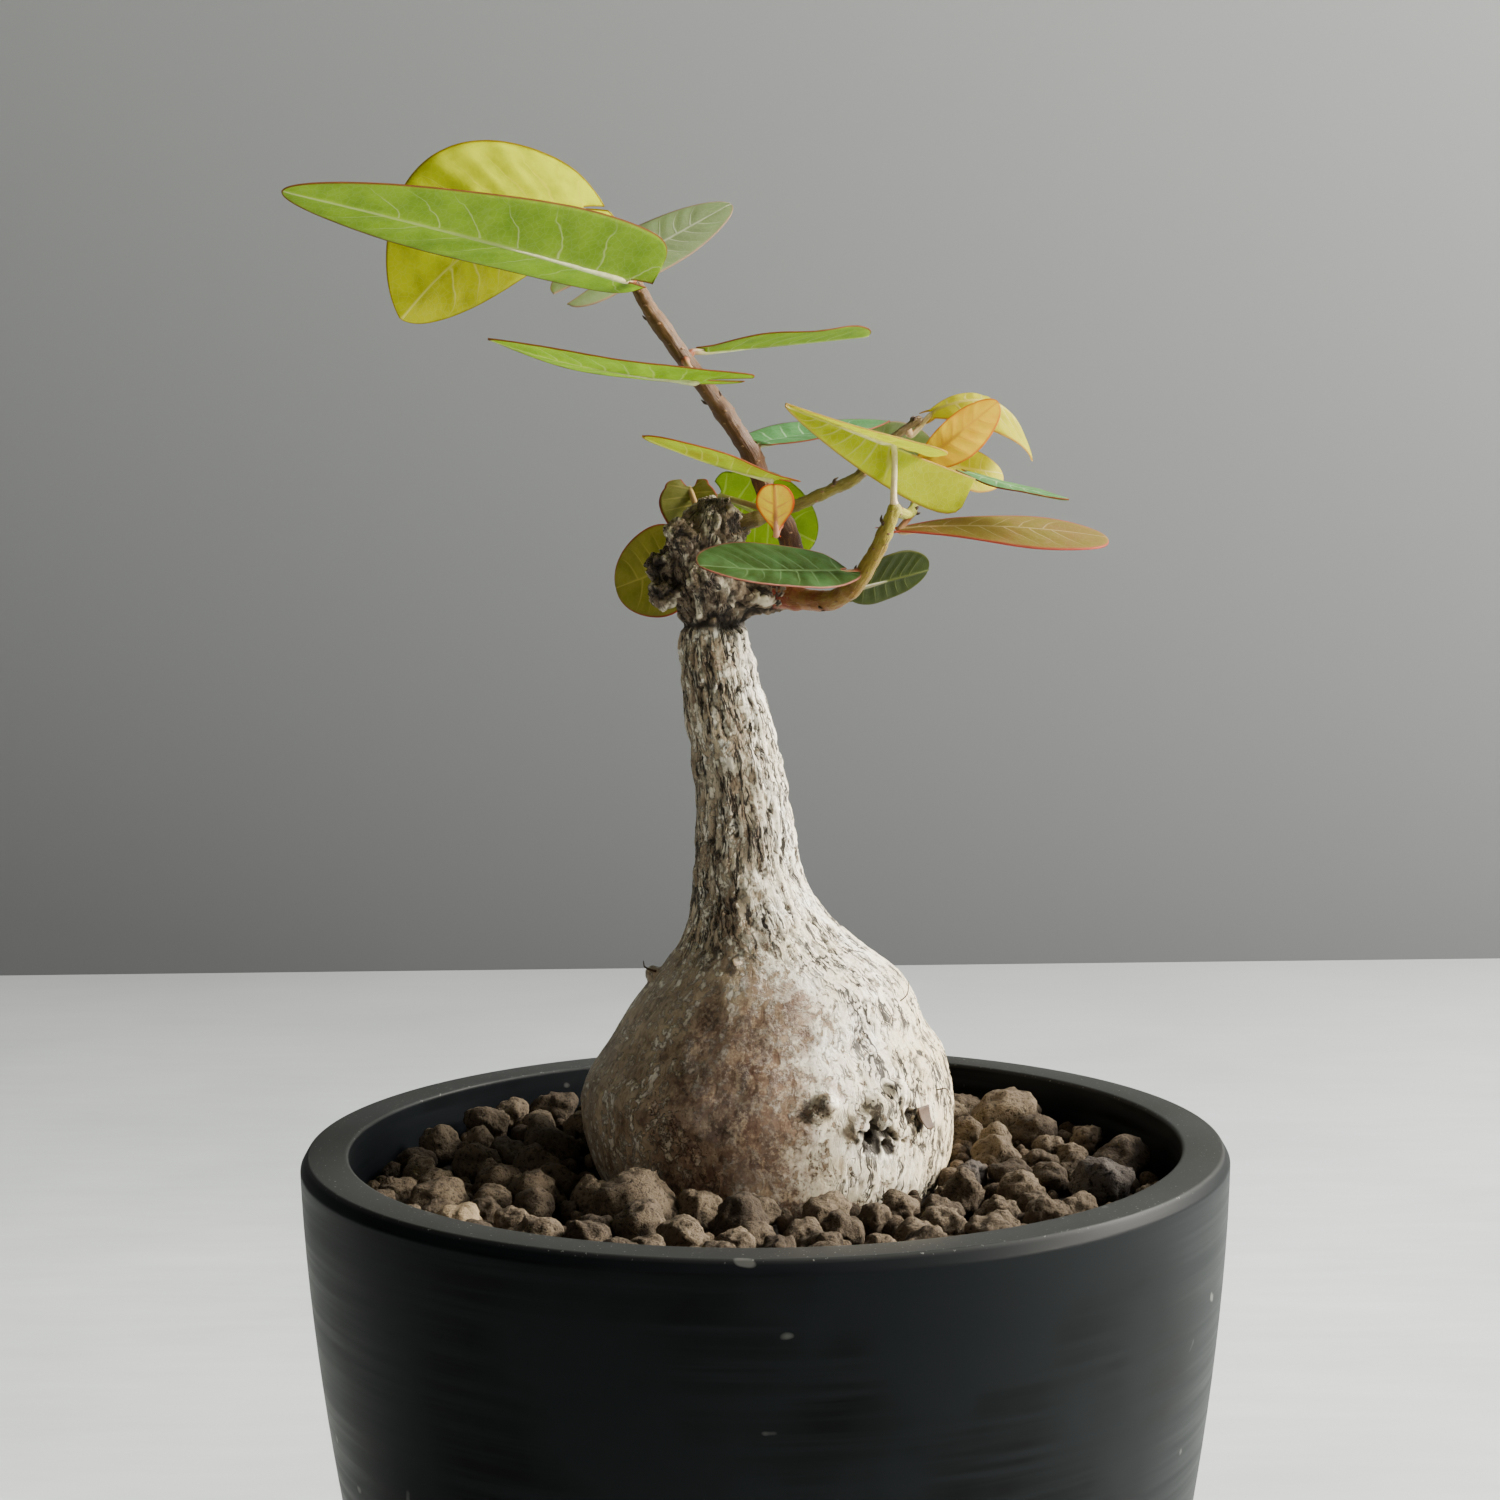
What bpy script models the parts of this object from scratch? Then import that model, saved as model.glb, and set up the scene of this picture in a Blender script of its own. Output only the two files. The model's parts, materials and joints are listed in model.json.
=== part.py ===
"""A potted phyllanthus: a bottle-shaped woody caudex with a knobbly cut stump on top, three young
shoots with leaves, and a bed of coarse gravel, all in a round tapered nursery pot.

Every size below is in millimetres. The origin is the middle of the pot's underside, X runs to the
right, Y away from the viewer and Z up.
"""

import math
import random

import bmesh
import bpy
from mathutils import Vector, noise

MM = 0.001

# Clearance that touching pieces keep
GAP = 0.3

# Pot
POT_HEIGHT = 84.0
RIM_RADIUS = 52.5
FOOT_RADIUS = 39.0
TAPER_POWER = 1.66
RIM_WALL = 5.4
SIDE_WALL = 4.0
BASE_THICKNESS = 4.0
RIM_BEVEL_WIDTH = 0.8
RIM_BEVEL_HEIGHT = 1.4
FOOT_ROUND = 1.2
POT_SIDES = 48
OUTSIDE_LEVELS = (12.0, 26.0, 40.0, 54.0, 68.0)
INSIDE_LEVELS = (70.0, 54.0, 38.0, 22.0)
RIM_WALL_DEPTH = 30.0
DRAIN_COUNT = 6
DRAIN_SIDES = 16
DRAIN_OVERRUN = 2.0
DRAIN_RADIUS = 4.0
DRAIN_CIRCLE = 22.0

# Gravel bed: a filled pot of grit with separate grains showing on top. Its flat top is raised in
# heaps, each with a middle x and y, a height and a spread.
SOIL_LEVEL = 77.6
SOIL_HEAPS = (
    (-30.0, 27.0, 1.8, 14.8),
    (34.0, 22.0, 1.0, 14.1),
)
BED_CLEARANCE = 0.15
BED_SHARES = (0.0, 0.3, 0.65, 1.0)
GRAIN_SEED = 7
GRAIN_TRIES = 5000
GRAIN_SMALLEST = 2.3
GRAIN_LARGEST = 3.6
GRAIN_SPACING = 0.9
GRAIN_RISE = 0.3
GRAIN_ROUGHNESS = 0.12
LARGE_GRAIN = 4.2
WALL_MARGIN = 0.9
CAUDEX_MARGIN = 22.4

# Larger stones seen on the bed: x, y and half width
STONES = (
    (29.8, 27.0, 4.6),
    (41.4, 7.0, 3.8),
    (38.8, 19.5, 2.1),
    (34.0, 14.6, 2.2),
    (-14.6, -11.6, 5.2),
    (-25.6, -9.4, 2.8),
    (12.0, -29.0, 2.7),
    (-33.4, -17.0, 3.0),
    (38.0, -4.0, 4.4),
    (23.8, 3.2, 2.2),
    (-26.4, 32.4, 3.4),
    (-34.0, 25.4, 3.0),
    (-43.8, 9.2, 1.4),
    (6.6, -13.4, 3.0),
)

# Caudex: height, centre x and radius, from its hidden root up to the top of the stump. Its depth
# is the y of its axis, and at the soil it has the centre x and radius given.
CAUDEX_DEPTH = 13.0
CAUDEX_AT_SOIL = (0.8, 20.8)
CAUDEX_SIDES = 24
CAUDEX_PROFILE = (
    (62.0, 1.4, 5.0),
    (66.0, 1.2, 12.0),
    (72.0, 1.0, 17.5),
    (78.0, 0.8, 20.8),
    (84.0, 0.4, 22.0),
    (88.5, 0.4, 21.6),
    (92.0, 1.0, 20.0),
    (95.0, 1.0, 18.0),
    (98.0, 1.4, 16.4),
    (101.0, 1.6, 14.2),
    (104.5, 0.6, 10.4),
    (107.5, -0.4, 8.3),
    (113.0, -1.6, 6.4),
    (120.0, -2.1, 5.6),
    (127.0, -3.1, 5.2),
    (134.0, -4.4, 4.7),
    (140.0, -5.4, 4.2),
    (142.5, -5.4, 4.1),
    (145.5, -5.6, 4.7),
    (149.0, -6.4, 5.2),
    (152.5, -6.0, 4.6),
    (155.0, -5.4, 3.4),
    (156.6, -4.8, 1.4),
)
LUMPS_START = 86.0
CAUDEX_LUMPS = 0.35
STUMP_START = 141.0
STUMP_LUMPS = 0.7
LUMP_FREQUENCY = 0.23

# Knobs fused to the caudex: centre, radius
KNOBS = (
    (-11.0, 9.6, 145.8, 1.9),
    (-11.4, 10.6, 149.0, 1.8),
    (-9.0, 8.8, 152.4, 2.1),
    (-6.4, 7.6, 147.4, 1.9),
    (-5.4, 16.6, 149.4, 2.5),
    (-2.6, 14.0, 153.0, 1.9),
    (12.6, -4.4, 87.8, 2.4),
    (14.6, -2.8, 89.4, 1.9),
    (10.4, -6.0, 86.6, 1.7),
    (7.0, -7.6, 89.4, 1.4),
    (-12.9, 12.0, 101.0, 1.0),
)

# Side branch at the stump's foot: centre points and radii
BRANCH = (
    (-3.4, 12.2, 144.8, 2.4),
    (0.6, 12.0, 145.2, 2.1),
    (3.4, 11.8, 145.6, 1.8),
)

# Shoots: centre points and radii from base to tip
SHOOTS = {
    "shoot_tall": (
        (3.4, 11.8, 147.8, 1.35),
        (4.0, 11.6, 149.4, 1.3),
        (3.4, 11.0, 152.2, 1.25),
        (1.8, 10.4, 155.4, 1.2),
        (0.6, 10.0, 158.0, 1.15),
        (-0.8, 9.0, 161.6, 1.1),
        (-2.8, 8.4, 164.8, 1.05),
        (-4.4, 8.0, 167.2, 1.05),
        (-8.2, 6.4, 172.4, 1.0),
        (-11.4, 5.2, 177.0, 0.9),
        (-12.6, 4.6, 179.0, 0.85),
        (-13.8, 4.6, 181.2, 0.75),
        (-15.2, 5.2, 184.0, 0.6),
        (-17.0, 6.4, 187.2, 0.5),
    ),
    "shoot_middle": (
        (-0.2, 13.4, 154.2, 0.85),
        (2.4, 14.0, 155.0, 0.75),
        (5.2, 14.0, 156.0, 0.7),
        (8.4, 14.0, 157.4, 0.7),
        (11.4, 14.0, 158.8, 0.65),
        (14.0, 14.4, 161.4, 0.6),
        (15.8, 15.0, 163.4, 0.5),
        (19.0, 16.4, 165.6, 0.4),
    ),
    "shoot_low": (
        (4.35, 10.8, 145.0, 1.3),
        (7.6, 8.0, 144.8, 1.2),
        (9.2, 6.0, 145.4, 1.1),
        (11.0, 4.0, 147.0, 1.05),
        (12.6, 2.0, 149.6, 0.95),
        (13.8, 0.4, 152.0, 0.85),
        (14.6, -0.4, 154.0, 0.8),
        (15.2, -0.2, 155.2, 0.7),
        (16.4, 2.4, 154.8, 0.55),
        (17.4, 6.0, 155.0, 0.5),
        (18.4, 9.0, 156.8, 0.45),
        (19.6, 11.0, 158.8, 0.4),
    ),
}
SHOOT_SIDES = 8
SHOOT_STEPS = 2

# Leaves. base and tip are the blade's two ends, width is across both halves, roll turns the blade
# about its own length, the folds lift its two halves in degrees, arch lifts the middle, and attach
# is the share of the length behind the leaf stalk. widest and round_ends shape the outline.
# Some leaves are lopsided or bent: halves scales each half's width, lobes each half's lobe behind
# the stalk, opening is how many degrees the halves unfold from base to tip, and inset is the share
# of the half width at which the lobes start beside the stalk.
LEAVES = {
    "leaf_tall_1": dict(on="shoot_tall", base=(-10.2, 0.6, 179.8), tip=(-48.0, -28.0, 188.8),
                        width=17.0, roll=-29, folds=(13, 13), arch=0.5, attach=0.12,
                        widest=0.56, round_ends=(0.42, 0.5), colour="green",
                        halves=(0.7, 0.85), lobes=(0.6, 0.65), opening=22),
    "leaf_tall_2": dict(on="shoot_tall", base=(-16.8, 4.4, 189.2), tip=(-41.0, 12.0, 177.6),
                        width=22.0, roll=-40, folds=(15, 25), arch=6.0, attach=0.12,
                        widest=1.2, round_ends=(0.28, 0.5), colour="yellow",
                        halves=(0.85, 1.02)),
    "leaf_tall_3": dict(on="shoot_tall", base=(-22.8, 16.0, 179.8), tip=(-3.0, 31.0, 191.7),
                        width=10.5, roll=-38, folds=(5, 0), arch=0.0, attach=0.25,
                        widest=0.9, round_ends=(0.5, 0.5), colour="sage",
                        halves=(0.75, 0.85)),
    "leaf_tall_4": dict(on="shoot_tall", base=(-1.0, 1.4, 169.8), tip=(-29.0, -10.0, 174.4),
                        width=11.0, roll=-4, folds=(4, 12), arch=-1.2, attach=0.2,
                        widest=0.8, round_ends=(0.5, 0.8), colour="green",
                        halves=(1.0, 0.8)),
    "leaf_tall_5": dict(on="shoot_tall", base=(-7.6, 7.8, 173.4), tip=(13.2, 22.0, 175.6),
                        width=12.0, roll=4, folds=(12, 8), arch=0.0, attach=0.08,
                        widest=1.2, round_ends=(0.6, 0.6), colour="green"),
    "leaf_tall_6": dict(on="shoot_tall", base=(4.2, 5.0, 158.4), tip=(-12.4, -8.0, 163.8),
                        width=7.6, roll=0, folds=(10, 10), arch=-0.5, attach=0.16,
                        widest=1.5, round_ends=(0.5, 0.6), colour="green",
                        halves=(1.1, 1.0)),
    "leaf_tall_7": dict(on="shoot_tall", base=(-0.5, 10.8, 162.8), tip=(15.6, 21.0, 165.4),
                        width=10.0, roll=0, folds=(0, 18), arch=0.0, attach=0.05,
                        widest=0.75, round_ends=(0.35, 0.8), colour="deep_green"),
    "leaf_tall_8": dict(on="shoot_tall", base=(2.0, 7.0, 152.2), tip=(1.8, 5.0, 158.2),
                        width=4.4, roll=0, folds=(10, 10), arch=0.0, attach=0.05,
                        widest=1.7, round_ends=(0.9, 0.35), colour="orange"),
    "leaf_stump_1": dict(on="stump_upper", base=(-8.4, 27.0, 158.6), tip=(-6.6, 22.0, 150.6),
                         width=9.0, roll=0, folds=(5, 25), arch=0.0, attach=0.12,
                         widest=0.8, round_ends=(0.5, 0.6), colour="olive",
                         halves=(1.0, 0.68), lobes=(1.0, 0.8)),
    "leaf_stump_2": dict(on="stump_lower", base=(-7.0, 24.0, 149.6), tip=(-17.4, 28.0, 145.6),
                         width=11.5, roll=75, folds=(5, 5), arch=0.0, attach=0.1,
                         widest=0.9, round_ends=(0.5, 0.45), colour="olive"),
    "leaf_middle_1": dict(on="shoot_middle", base=(-5.6, 19.0, 157.4), tip=(6.6, 17.0, 151.4),
                          width=10.6, roll=80, folds=(4, 4), arch=0.0, attach=0.1,
                          widest=1.0, round_ends=(0.45, 0.45), colour="green"),
    "leaf_middle_2": dict(on="shoot_middle", base=(11.4, 21.4, 161.7), tip=(20.6, 21.4, 162.7),
                          width=8.0, roll=-50, folds=(3, 3), arch=0.0, attach=0.08,
                          widest=1.0, round_ends=(0.5, 0.5), colour="sage"),
    "leaf_middle_3": dict(on="shoot_middle", base=(19.4, 17.0, 165.8), tip=(31.9, 22.0, 162.2),
                          width=13.0, roll=-35, folds=(0, -18), arch=4.2, attach=0.06,
                          widest=1.6, round_ends=(0.5, 0.3), colour="yellow",
                          halves=(1.0, 0.85)),
    "leaf_low_1": dict(on="shoot_low", base=(11.4, 2.8, 148.5), tip=(-6.4, -14.0, 149.8),
                       width=14.0, roll=30, folds=(6, 8), arch=-0.4, attach=0.13,
                       widest=0.95, round_ends=(0.6, 0.5), colour="deep_green",
                       halves=(0.8, 0.6), lobes=(0.4, 0.85)),
    "leaf_low_2": dict(on="shoot_low", base=(10.2, 8.0, 146.1), tip=(19.9, 18.0, 147.9),
                       width=7.4, roll=62, folds=(3, 3), arch=0.0, attach=0.1,
                       widest=0.95, round_ends=(0.45, 0.45), colour="olive",
                       halves=(1.0, 0.82)),
    "leaf_low_3": dict(on="shoot_low", base=(13.4, 6.0, 152.8), tip=(40.0, 9.0, 151.6),
                       width=11.0, roll=-18, folds=(0, 0), arch=0.9, attach=0.1,
                       widest=1.8, round_ends=(0.7, 0.4), colour="pink"),
    "leaf_low_4": dict(on="shoot_low", base=(24.8, 6.6, 158.8), tip=(3.0, -8.0, 166.8),
                       width=9.4, roll=-70, folds=(0, -62), arch=0.0, attach=0.45,
                       widest=0.38, round_ends=(0.3, 0.75), colour="yellow",
                       halves=(1.1, 1.0), lobes=(1.0, 0.4), inset=0.04),
    "leaf_low_5": dict(on="shoot_low", base=(18.9, 12.6, 160.3), tip=(27.6, 10.6, 167.3),
                       width=6.4, roll=-70, folds=(3, 3), arch=0.0, attach=0.08,
                       widest=1.0, round_ends=(0.5, 0.45), colour="orange",
                       halves=(1.0, 0.75)),
    "leaf_low_6": dict(on="shoot_low", base=(20.8, 15.0, 160.2), tip=(29.0, 22.0, 159.0),
                       width=6.0, roll=-60, folds=(3, 3), arch=0.0, attach=0.08,
                       widest=1.0, round_ends=(0.5, 0.45), colour="yellow"),
    "leaf_low_7": dict(on="shoot_low", base=(23.2, 12.4, 159.6), tip=(35.2, 5.6, 156.2),
                       width=7.0, roll=0, folds=(3, 3), arch=-0.3, attach=0.08,
                       widest=1.0, round_ends=(0.6, 0.6), colour="deep_green"),
}
BLADE_THICKNESS = 0.7
BLADE_ROWS = (0.0, 0.16, 0.36, 0.56, 0.76, 0.92)
LOBE_INSET = 0.22
LOBE_MIDDLE = 0.45
STALK_RADIUS = 0.45
STALK_SIDES = 5
STALK_LEAD = 0.35
STALK_LEAD_MOST = 1.5

# The rib under the blade: share of the way to its end, depth under the blade's middle, radius
RIB = ((0.0, 0.3, 0.45), (0.4, 0.25, 0.36), (1.0, 0.05, 0.24))
RIB_END = 0.62

# Places on the stump where a leaf stalk starts: centre and radius there
STUMP_POINTS = {
    "stump_upper": ((-5.6, 13.0, 153.6), 4.5),
    "stump_lower": ((-6.4, 13.0, 147.6), 5.45),
}

# Colours are linear red, green, blue
LEAF_COLOURS = {
    "green": (0.22, 0.42, 0.06),
    "deep_green": (0.06, 0.17, 0.07),
    "yellow": (0.62, 0.58, 0.03),
    "sage": (0.36, 0.45, 0.24),
    "orange": (0.75, 0.33, 0.05),
    "olive": (0.16, 0.17, 0.03),
    "pink": (0.50, 0.28, 0.17),
}


def clear_scene():
    for thing in list(bpy.data.objects):
        bpy.data.objects.remove(thing, do_unlink=True)


def material(name, colour, roughness):
    made = bpy.data.materials.new(name)
    made.use_nodes = True
    shader = made.node_tree.nodes["Principled BSDF"]
    shader.inputs["Base Color"].default_value = (*colour, 1.0)
    shader.inputs["Roughness"].default_value = roughness
    shader.inputs["Metallic"].default_value = 0.0
    return made


def mesh_object(name, verts, faces, finish=None):
    """A new object from vertices in millimetres and faces, with its normals made to point out."""
    mesh = bpy.data.meshes.new(name)
    mesh.from_pydata([Vector(v) * MM for v in verts], [], faces)
    work = bmesh.new()
    work.from_mesh(mesh)
    bmesh.ops.recalc_face_normals(work, faces=work.faces)
    work.to_mesh(mesh)
    work.free()
    thing = bpy.data.objects.new(name, mesh)
    bpy.context.scene.collection.objects.link(thing)
    if finish:
        mesh.materials.append(finish)
    return thing


def loft(name, rings, finish=None):
    """A closed solid through rings of points, all of the same count, with both ends capped."""
    sides = len(rings[0])
    verts = [point for ring in rings for point in ring]
    faces = []
    for row in range(len(rings) - 1):
        for side in range(sides):
            following = (side + 1) % sides
            low, high = row * sides, (row + 1) * sides
            faces.append((low + side, low + following, high + following, high + side))
    faces.append(tuple(range(sides))[::-1])
    faces.append(tuple(range((len(rings) - 1) * sides, len(rings) * sides)))
    return mesh_object(name, verts, faces, finish)


def circle(centre_x, centre_y, z, radius, sides):
    turn = 2 * math.pi / sides
    return [
        (centre_x + radius * math.cos(turn * k), centre_y + radius * math.sin(turn * k), z)
        for k in range(sides)
    ]


def settle(thing, name, smooth=True):
    """Turns an object's modifiers into its mesh, and drops the modifiers."""
    ready = thing.evaluated_get(bpy.context.evaluated_depsgraph_get())
    mesh = bpy.data.meshes.new_from_object(ready)
    thing.modifiers.clear()
    thing.data = mesh
    thing.name = name
    mesh.name = name
    if smooth:
        mesh.shade_smooth()
        mesh.set_sharp_from_angle(angle=math.radians(35))
    return thing


def combine(base, others, name, operation="UNION", solver="EXACT"):
    """One Boolean of base with every object in others, applied, with others removed."""
    group = bpy.data.collections.new(name + "_pieces")
    for other in others:
        group.objects.link(other)
    change = base.modifiers.new("join", "BOOLEAN")
    change.operation = operation
    change.operand_type = "COLLECTION"
    change.collection = group
    change.solver = solver
    settle(base, name)
    for other in others:
        bpy.data.objects.remove(other, do_unlink=True)
    bpy.data.collections.remove(group)
    return base


def smooth_path(points, steps):
    """Points of a Catmull-Rom curve through points, each a tuple whose last value is a radius."""
    rows = [Vector(p) for p in points]
    rows = [2 * rows[0] - rows[1], *rows, 2 * rows[-1] - rows[-2]]
    path = []
    for k in range(1, len(rows) - 2):
        a, b, c, d = rows[k - 1 : k + 3]
        for step in range(steps):
            t = step / steps
            path.append(
                0.5 * (2 * b + (c - a) * t + (2 * a - 5 * b + 4 * c - d) * t**2
                       + (3 * b - a - 3 * c + d) * t**3)
            )
    path.append(rows[-2])
    return path


def tube_rings(path, sides):
    """Rings square to a path of (x, y, z, radius), turned as little as possible along it."""
    rings = []
    across = None
    for k, row in enumerate(path):
        before = Vector(path[max(k - 1, 0)][:3])
        after = Vector(path[min(k + 1, len(path) - 1)][:3])
        along = (after - before).normalized()
        if across is None:
            across = along.orthogonal().normalized()
        across = (across - along * across.dot(along)).normalized()
        other = along.cross(across)
        centre, radius = Vector(row[:3]), row[3]
        turn = 2 * math.pi / sides
        rings.append([
            centre + (across * math.cos(turn * s) + other * math.sin(turn * s)) * radius
            for s in range(sides)
        ])
    return rings


def pot_outside(z):
    """Outer radius of the pot at a height."""
    drop = (POT_HEIGHT - z) / POT_HEIGHT
    return RIM_RADIUS - (RIM_RADIUS - FOOT_RADIUS) * drop**TAPER_POWER


def pot_inside(z):
    """Inner radius of the pot at a height: a thicker rim, then an even wall."""
    share = min((POT_HEIGHT - z) / RIM_WALL_DEPTH, 1.0)
    return pot_outside(z) - (RIM_WALL + (SIDE_WALL - RIM_WALL) * share)


def make_pot():
    black = material("pot_black_plastic", (0.012, 0.014, 0.016), 0.45)
    outer = [(FOOT_ROUND * (1 - math.sin(a)), pot_outside(0) - FOOT_ROUND * (1 - math.cos(a)))
             for a in (0.0, math.pi / 4, math.pi / 2)][::-1]
    outer += [(z, pot_outside(z)) for z in OUTSIDE_LEVELS]
    outer.append((POT_HEIGHT - RIM_BEVEL_HEIGHT, RIM_RADIUS))
    outer.append((POT_HEIGHT, RIM_RADIUS - RIM_BEVEL_WIDTH))
    inner = [(z, pot_inside(z)) for z in (POT_HEIGHT, *INSIDE_LEVELS, BASE_THICKNESS)]
    rings = [circle(0, 0, z, radius, POT_SIDES) for z, radius in outer + inner]
    pot = loft("pot", rings, black)
    drains = []
    for k in range(DRAIN_COUNT):
        turn = 2 * math.pi * k / DRAIN_COUNT
        x, y = DRAIN_CIRCLE * math.cos(turn), DRAIN_CIRCLE * math.sin(turn)
        ends = (-DRAIN_OVERRUN, BASE_THICKNESS + DRAIN_OVERRUN)
        drains.append(
            loft(f"drain_{k}", [circle(x, y, z, DRAIN_RADIUS, DRAIN_SIDES) for z in ends])
        )
    return combine(pot, drains, "pot", "DIFFERENCE")


def caudex_rows():
    return smooth_path([(x, CAUDEX_DEPTH, z, radius) for z, x, radius in CAUDEX_PROFILE], 1)


def caudex_ring(x, y, z, radius):
    """A ring of the caudex, lumpy above the soil and rougher on the stump."""
    depth = STUMP_LUMPS if z > STUMP_START else CAUDEX_LUMPS
    swell = depth if z > LUMPS_START else 0.0
    turn = 2 * math.pi / CAUDEX_SIDES
    ring = []
    for k in range(CAUDEX_SIDES):
        way = Vector((math.cos(turn * k), math.sin(turn * k), 0))
        spot = Vector((x, y, z)) + way * radius
        ring.append(spot + way * swell * noise.noise(spot * LUMP_FREQUENCY))
    return ring


def ball(name, centre, radius, divisions, seed, squash=(1.0, 1.0, 1.0), rough=GRAIN_ROUGHNESS):
    """A lumpy stone or knob: an icosphere with each corner moved in or out at random."""
    draw = random.Random(seed)
    work = bmesh.new()
    bmesh.ops.create_icosphere(work, subdivisions=divisions, radius=1.0)
    spin = draw.uniform(0, 2 * math.pi)
    verts = []
    for corner in work.verts:
        reach = radius * (1 + draw.uniform(-rough, rough))
        x = corner.co.x * reach * squash[0]
        y = corner.co.y * reach * squash[1]
        z = corner.co.z * reach * squash[2]
        verts.append((
            centre[0] + x * math.cos(spin) - y * math.sin(spin),
            centre[1] + x * math.sin(spin) + y * math.cos(spin),
            centre[2] + z,
        ))
    faces = [[corner.index for corner in face.verts] for face in work.faces]
    work.free()
    return mesh_object(name, verts, faces)


def make_caudex():
    bark = material("caudex_bark", (0.36, 0.31, 0.26), 0.8)
    rings = [caudex_ring(*row) for row in caudex_rows()]
    body = loft("caudex", rings, bark)
    extras = [
        ball(f"knob_{k}", (x, y, z), radius, 2, 40 + k, rough=0.15)
        for k, (x, y, z, radius) in enumerate(KNOBS)
    ]
    extras.append(loft("branch", tube_rings(smooth_path(BRANCH, 2), 9)))
    return combine(body, extras, "caudex")


def soil_height(x, y):
    """Height of the bed below the grains, with its heaps."""
    return SOIL_LEVEL + sum(
        rise * math.exp(-((x - a) ** 2 + (y - b) ** 2) / spread**2)
        for a, b, rise, spread in SOIL_HEAPS
    )


def make_gravel():
    grit = material("gravel_brown", (0.10, 0.075, 0.055), 0.95)
    clear = GAP + BED_CLEARANCE
    floor = BASE_THICKNESS + GAP
    sides = CAUDEX_SIDES
    rings = [
        circle(0, 0, z, pot_inside(z) - clear, sides) for z in (floor, *INSIDE_LEVELS[::-1])
    ]
    wall = pot_inside(SOIL_LEVEL) - clear
    mouth_x, mouth = CAUDEX_AT_SOIL[0], CAUDEX_AT_SOIL[1] + clear
    for share in BED_SHARES:
        radius = wall + (mouth - wall) * share
        ring = circle(mouth_x * share, CAUDEX_DEPTH * share, SOIL_LEVEL, radius, sides)
        if 0 < share < 1:
            ring = [(x, y, soil_height(x, y)) for x, y, _ in ring]
        rings.append(ring)
    below = [row for row in caudex_rows() if row[2] < SOIL_LEVEL]
    for x, y, z, radius in below[::-1]:
        rings.append(circle(x, y, z - GAP, radius + clear, sides))
    bed = loft("gravel", rings, grit)
    grains = []
    for k, (x, y, size) in enumerate(grain_places()):
        draw = random.Random(1000 + k)
        squash = (1.0, draw.uniform(0.75, 1.0), draw.uniform(0.65, 0.85))
        height = soil_height(x, y) + GRAIN_RISE * size
        divisions = 2 if size > LARGE_GRAIN else 1
        grains.append(ball(f"grain_{k}", (x, y, height), size, divisions, 2000 + k, squash))
    return combine(bed, grains, "gravel", solver="MANIFOLD")


def grain_places():
    """Places and half widths of the grains: the large stones, then a seeded scatter round them."""
    draw = random.Random(GRAIN_SEED)
    placed = list(STONES)
    outside = pot_inside(SOIL_LEVEL) - WALL_MARGIN
    roughest = 1 + GRAIN_ROUGHNESS
    for _ in range(GRAIN_TRIES):
        size = draw.uniform(GRAIN_SMALLEST, GRAIN_LARGEST)
        reach = outside * math.sqrt(draw.random())
        turn = draw.uniform(0, 2 * math.pi)
        x, y = reach * math.cos(turn), reach * math.sin(turn)
        if reach > outside - roughest * size:
            continue
        if math.hypot(x - CAUDEX_AT_SOIL[0], y - CAUDEX_DEPTH) < CAUDEX_MARGIN + roughest * size:
            continue
        if all(math.hypot(x - a, y - b) > GRAIN_SPACING * (size + c) for a, b, c in placed):
            placed.append((x, y, size))
    return placed


def make_shoots():
    bark = material("shoot_bark", (0.20, 0.11, 0.06), 0.6)
    made = []
    for name, points in SHOOTS.items():
        rings = tube_rings(smooth_path(points, SHOOT_STEPS), SHOOT_SIDES)
        made.append(settle(loft(name, rings, bark), name))
    return made


def leaf_frame(leaf):
    """The blade's base, length, and its three directions: along, across and up."""
    base, tip = Vector(leaf["base"]), Vector(leaf["tip"])
    along = (tip - base).normalized()
    across = along.cross(Vector((0, 0, 1))).normalized()
    up = across.cross(along)
    turn = math.radians(leaf["roll"])
    across, up = (
        across * math.cos(turn) + up * math.sin(turn),
        up * math.cos(turn) - across * math.sin(turn),
    )
    return base, (tip - base).length, along, across, up


def rib_point(leaf, share):
    """A point on the middle of the blade, at a share of its length from the base."""
    base, length, along, _, up = leaf_frame(leaf)
    return base + along * length * share + up * leaf["arch"] * 4 * share * (1 - share)


def half_width(leaf, side, share):
    """Width of one half of the blade at a share of its length."""
    start, end = leaf["round_ends"]
    swell = math.sin(math.pi * min(max(share, 0.0), 1.0) ** leaf["widest"])
    half = leaf["width"] / 2 * leaf.get("halves", (1, 1))[side]
    return half * max(swell, 0.0) ** (start + (end - start) * share)


def blade_point(leaf, share, side, reach):
    """A point on one half of the blade, out from the rib by reach along the folded half."""
    _, _, _, across, up = leaf_frame(leaf)
    angle = math.radians(leaf["folds"][side] + leaf.get("opening", 0) * (0.5 - share))
    way = across * (1, -1)[side] * math.cos(angle) + up * math.sin(angle)
    return rib_point(leaf, share) + way * reach


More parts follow.
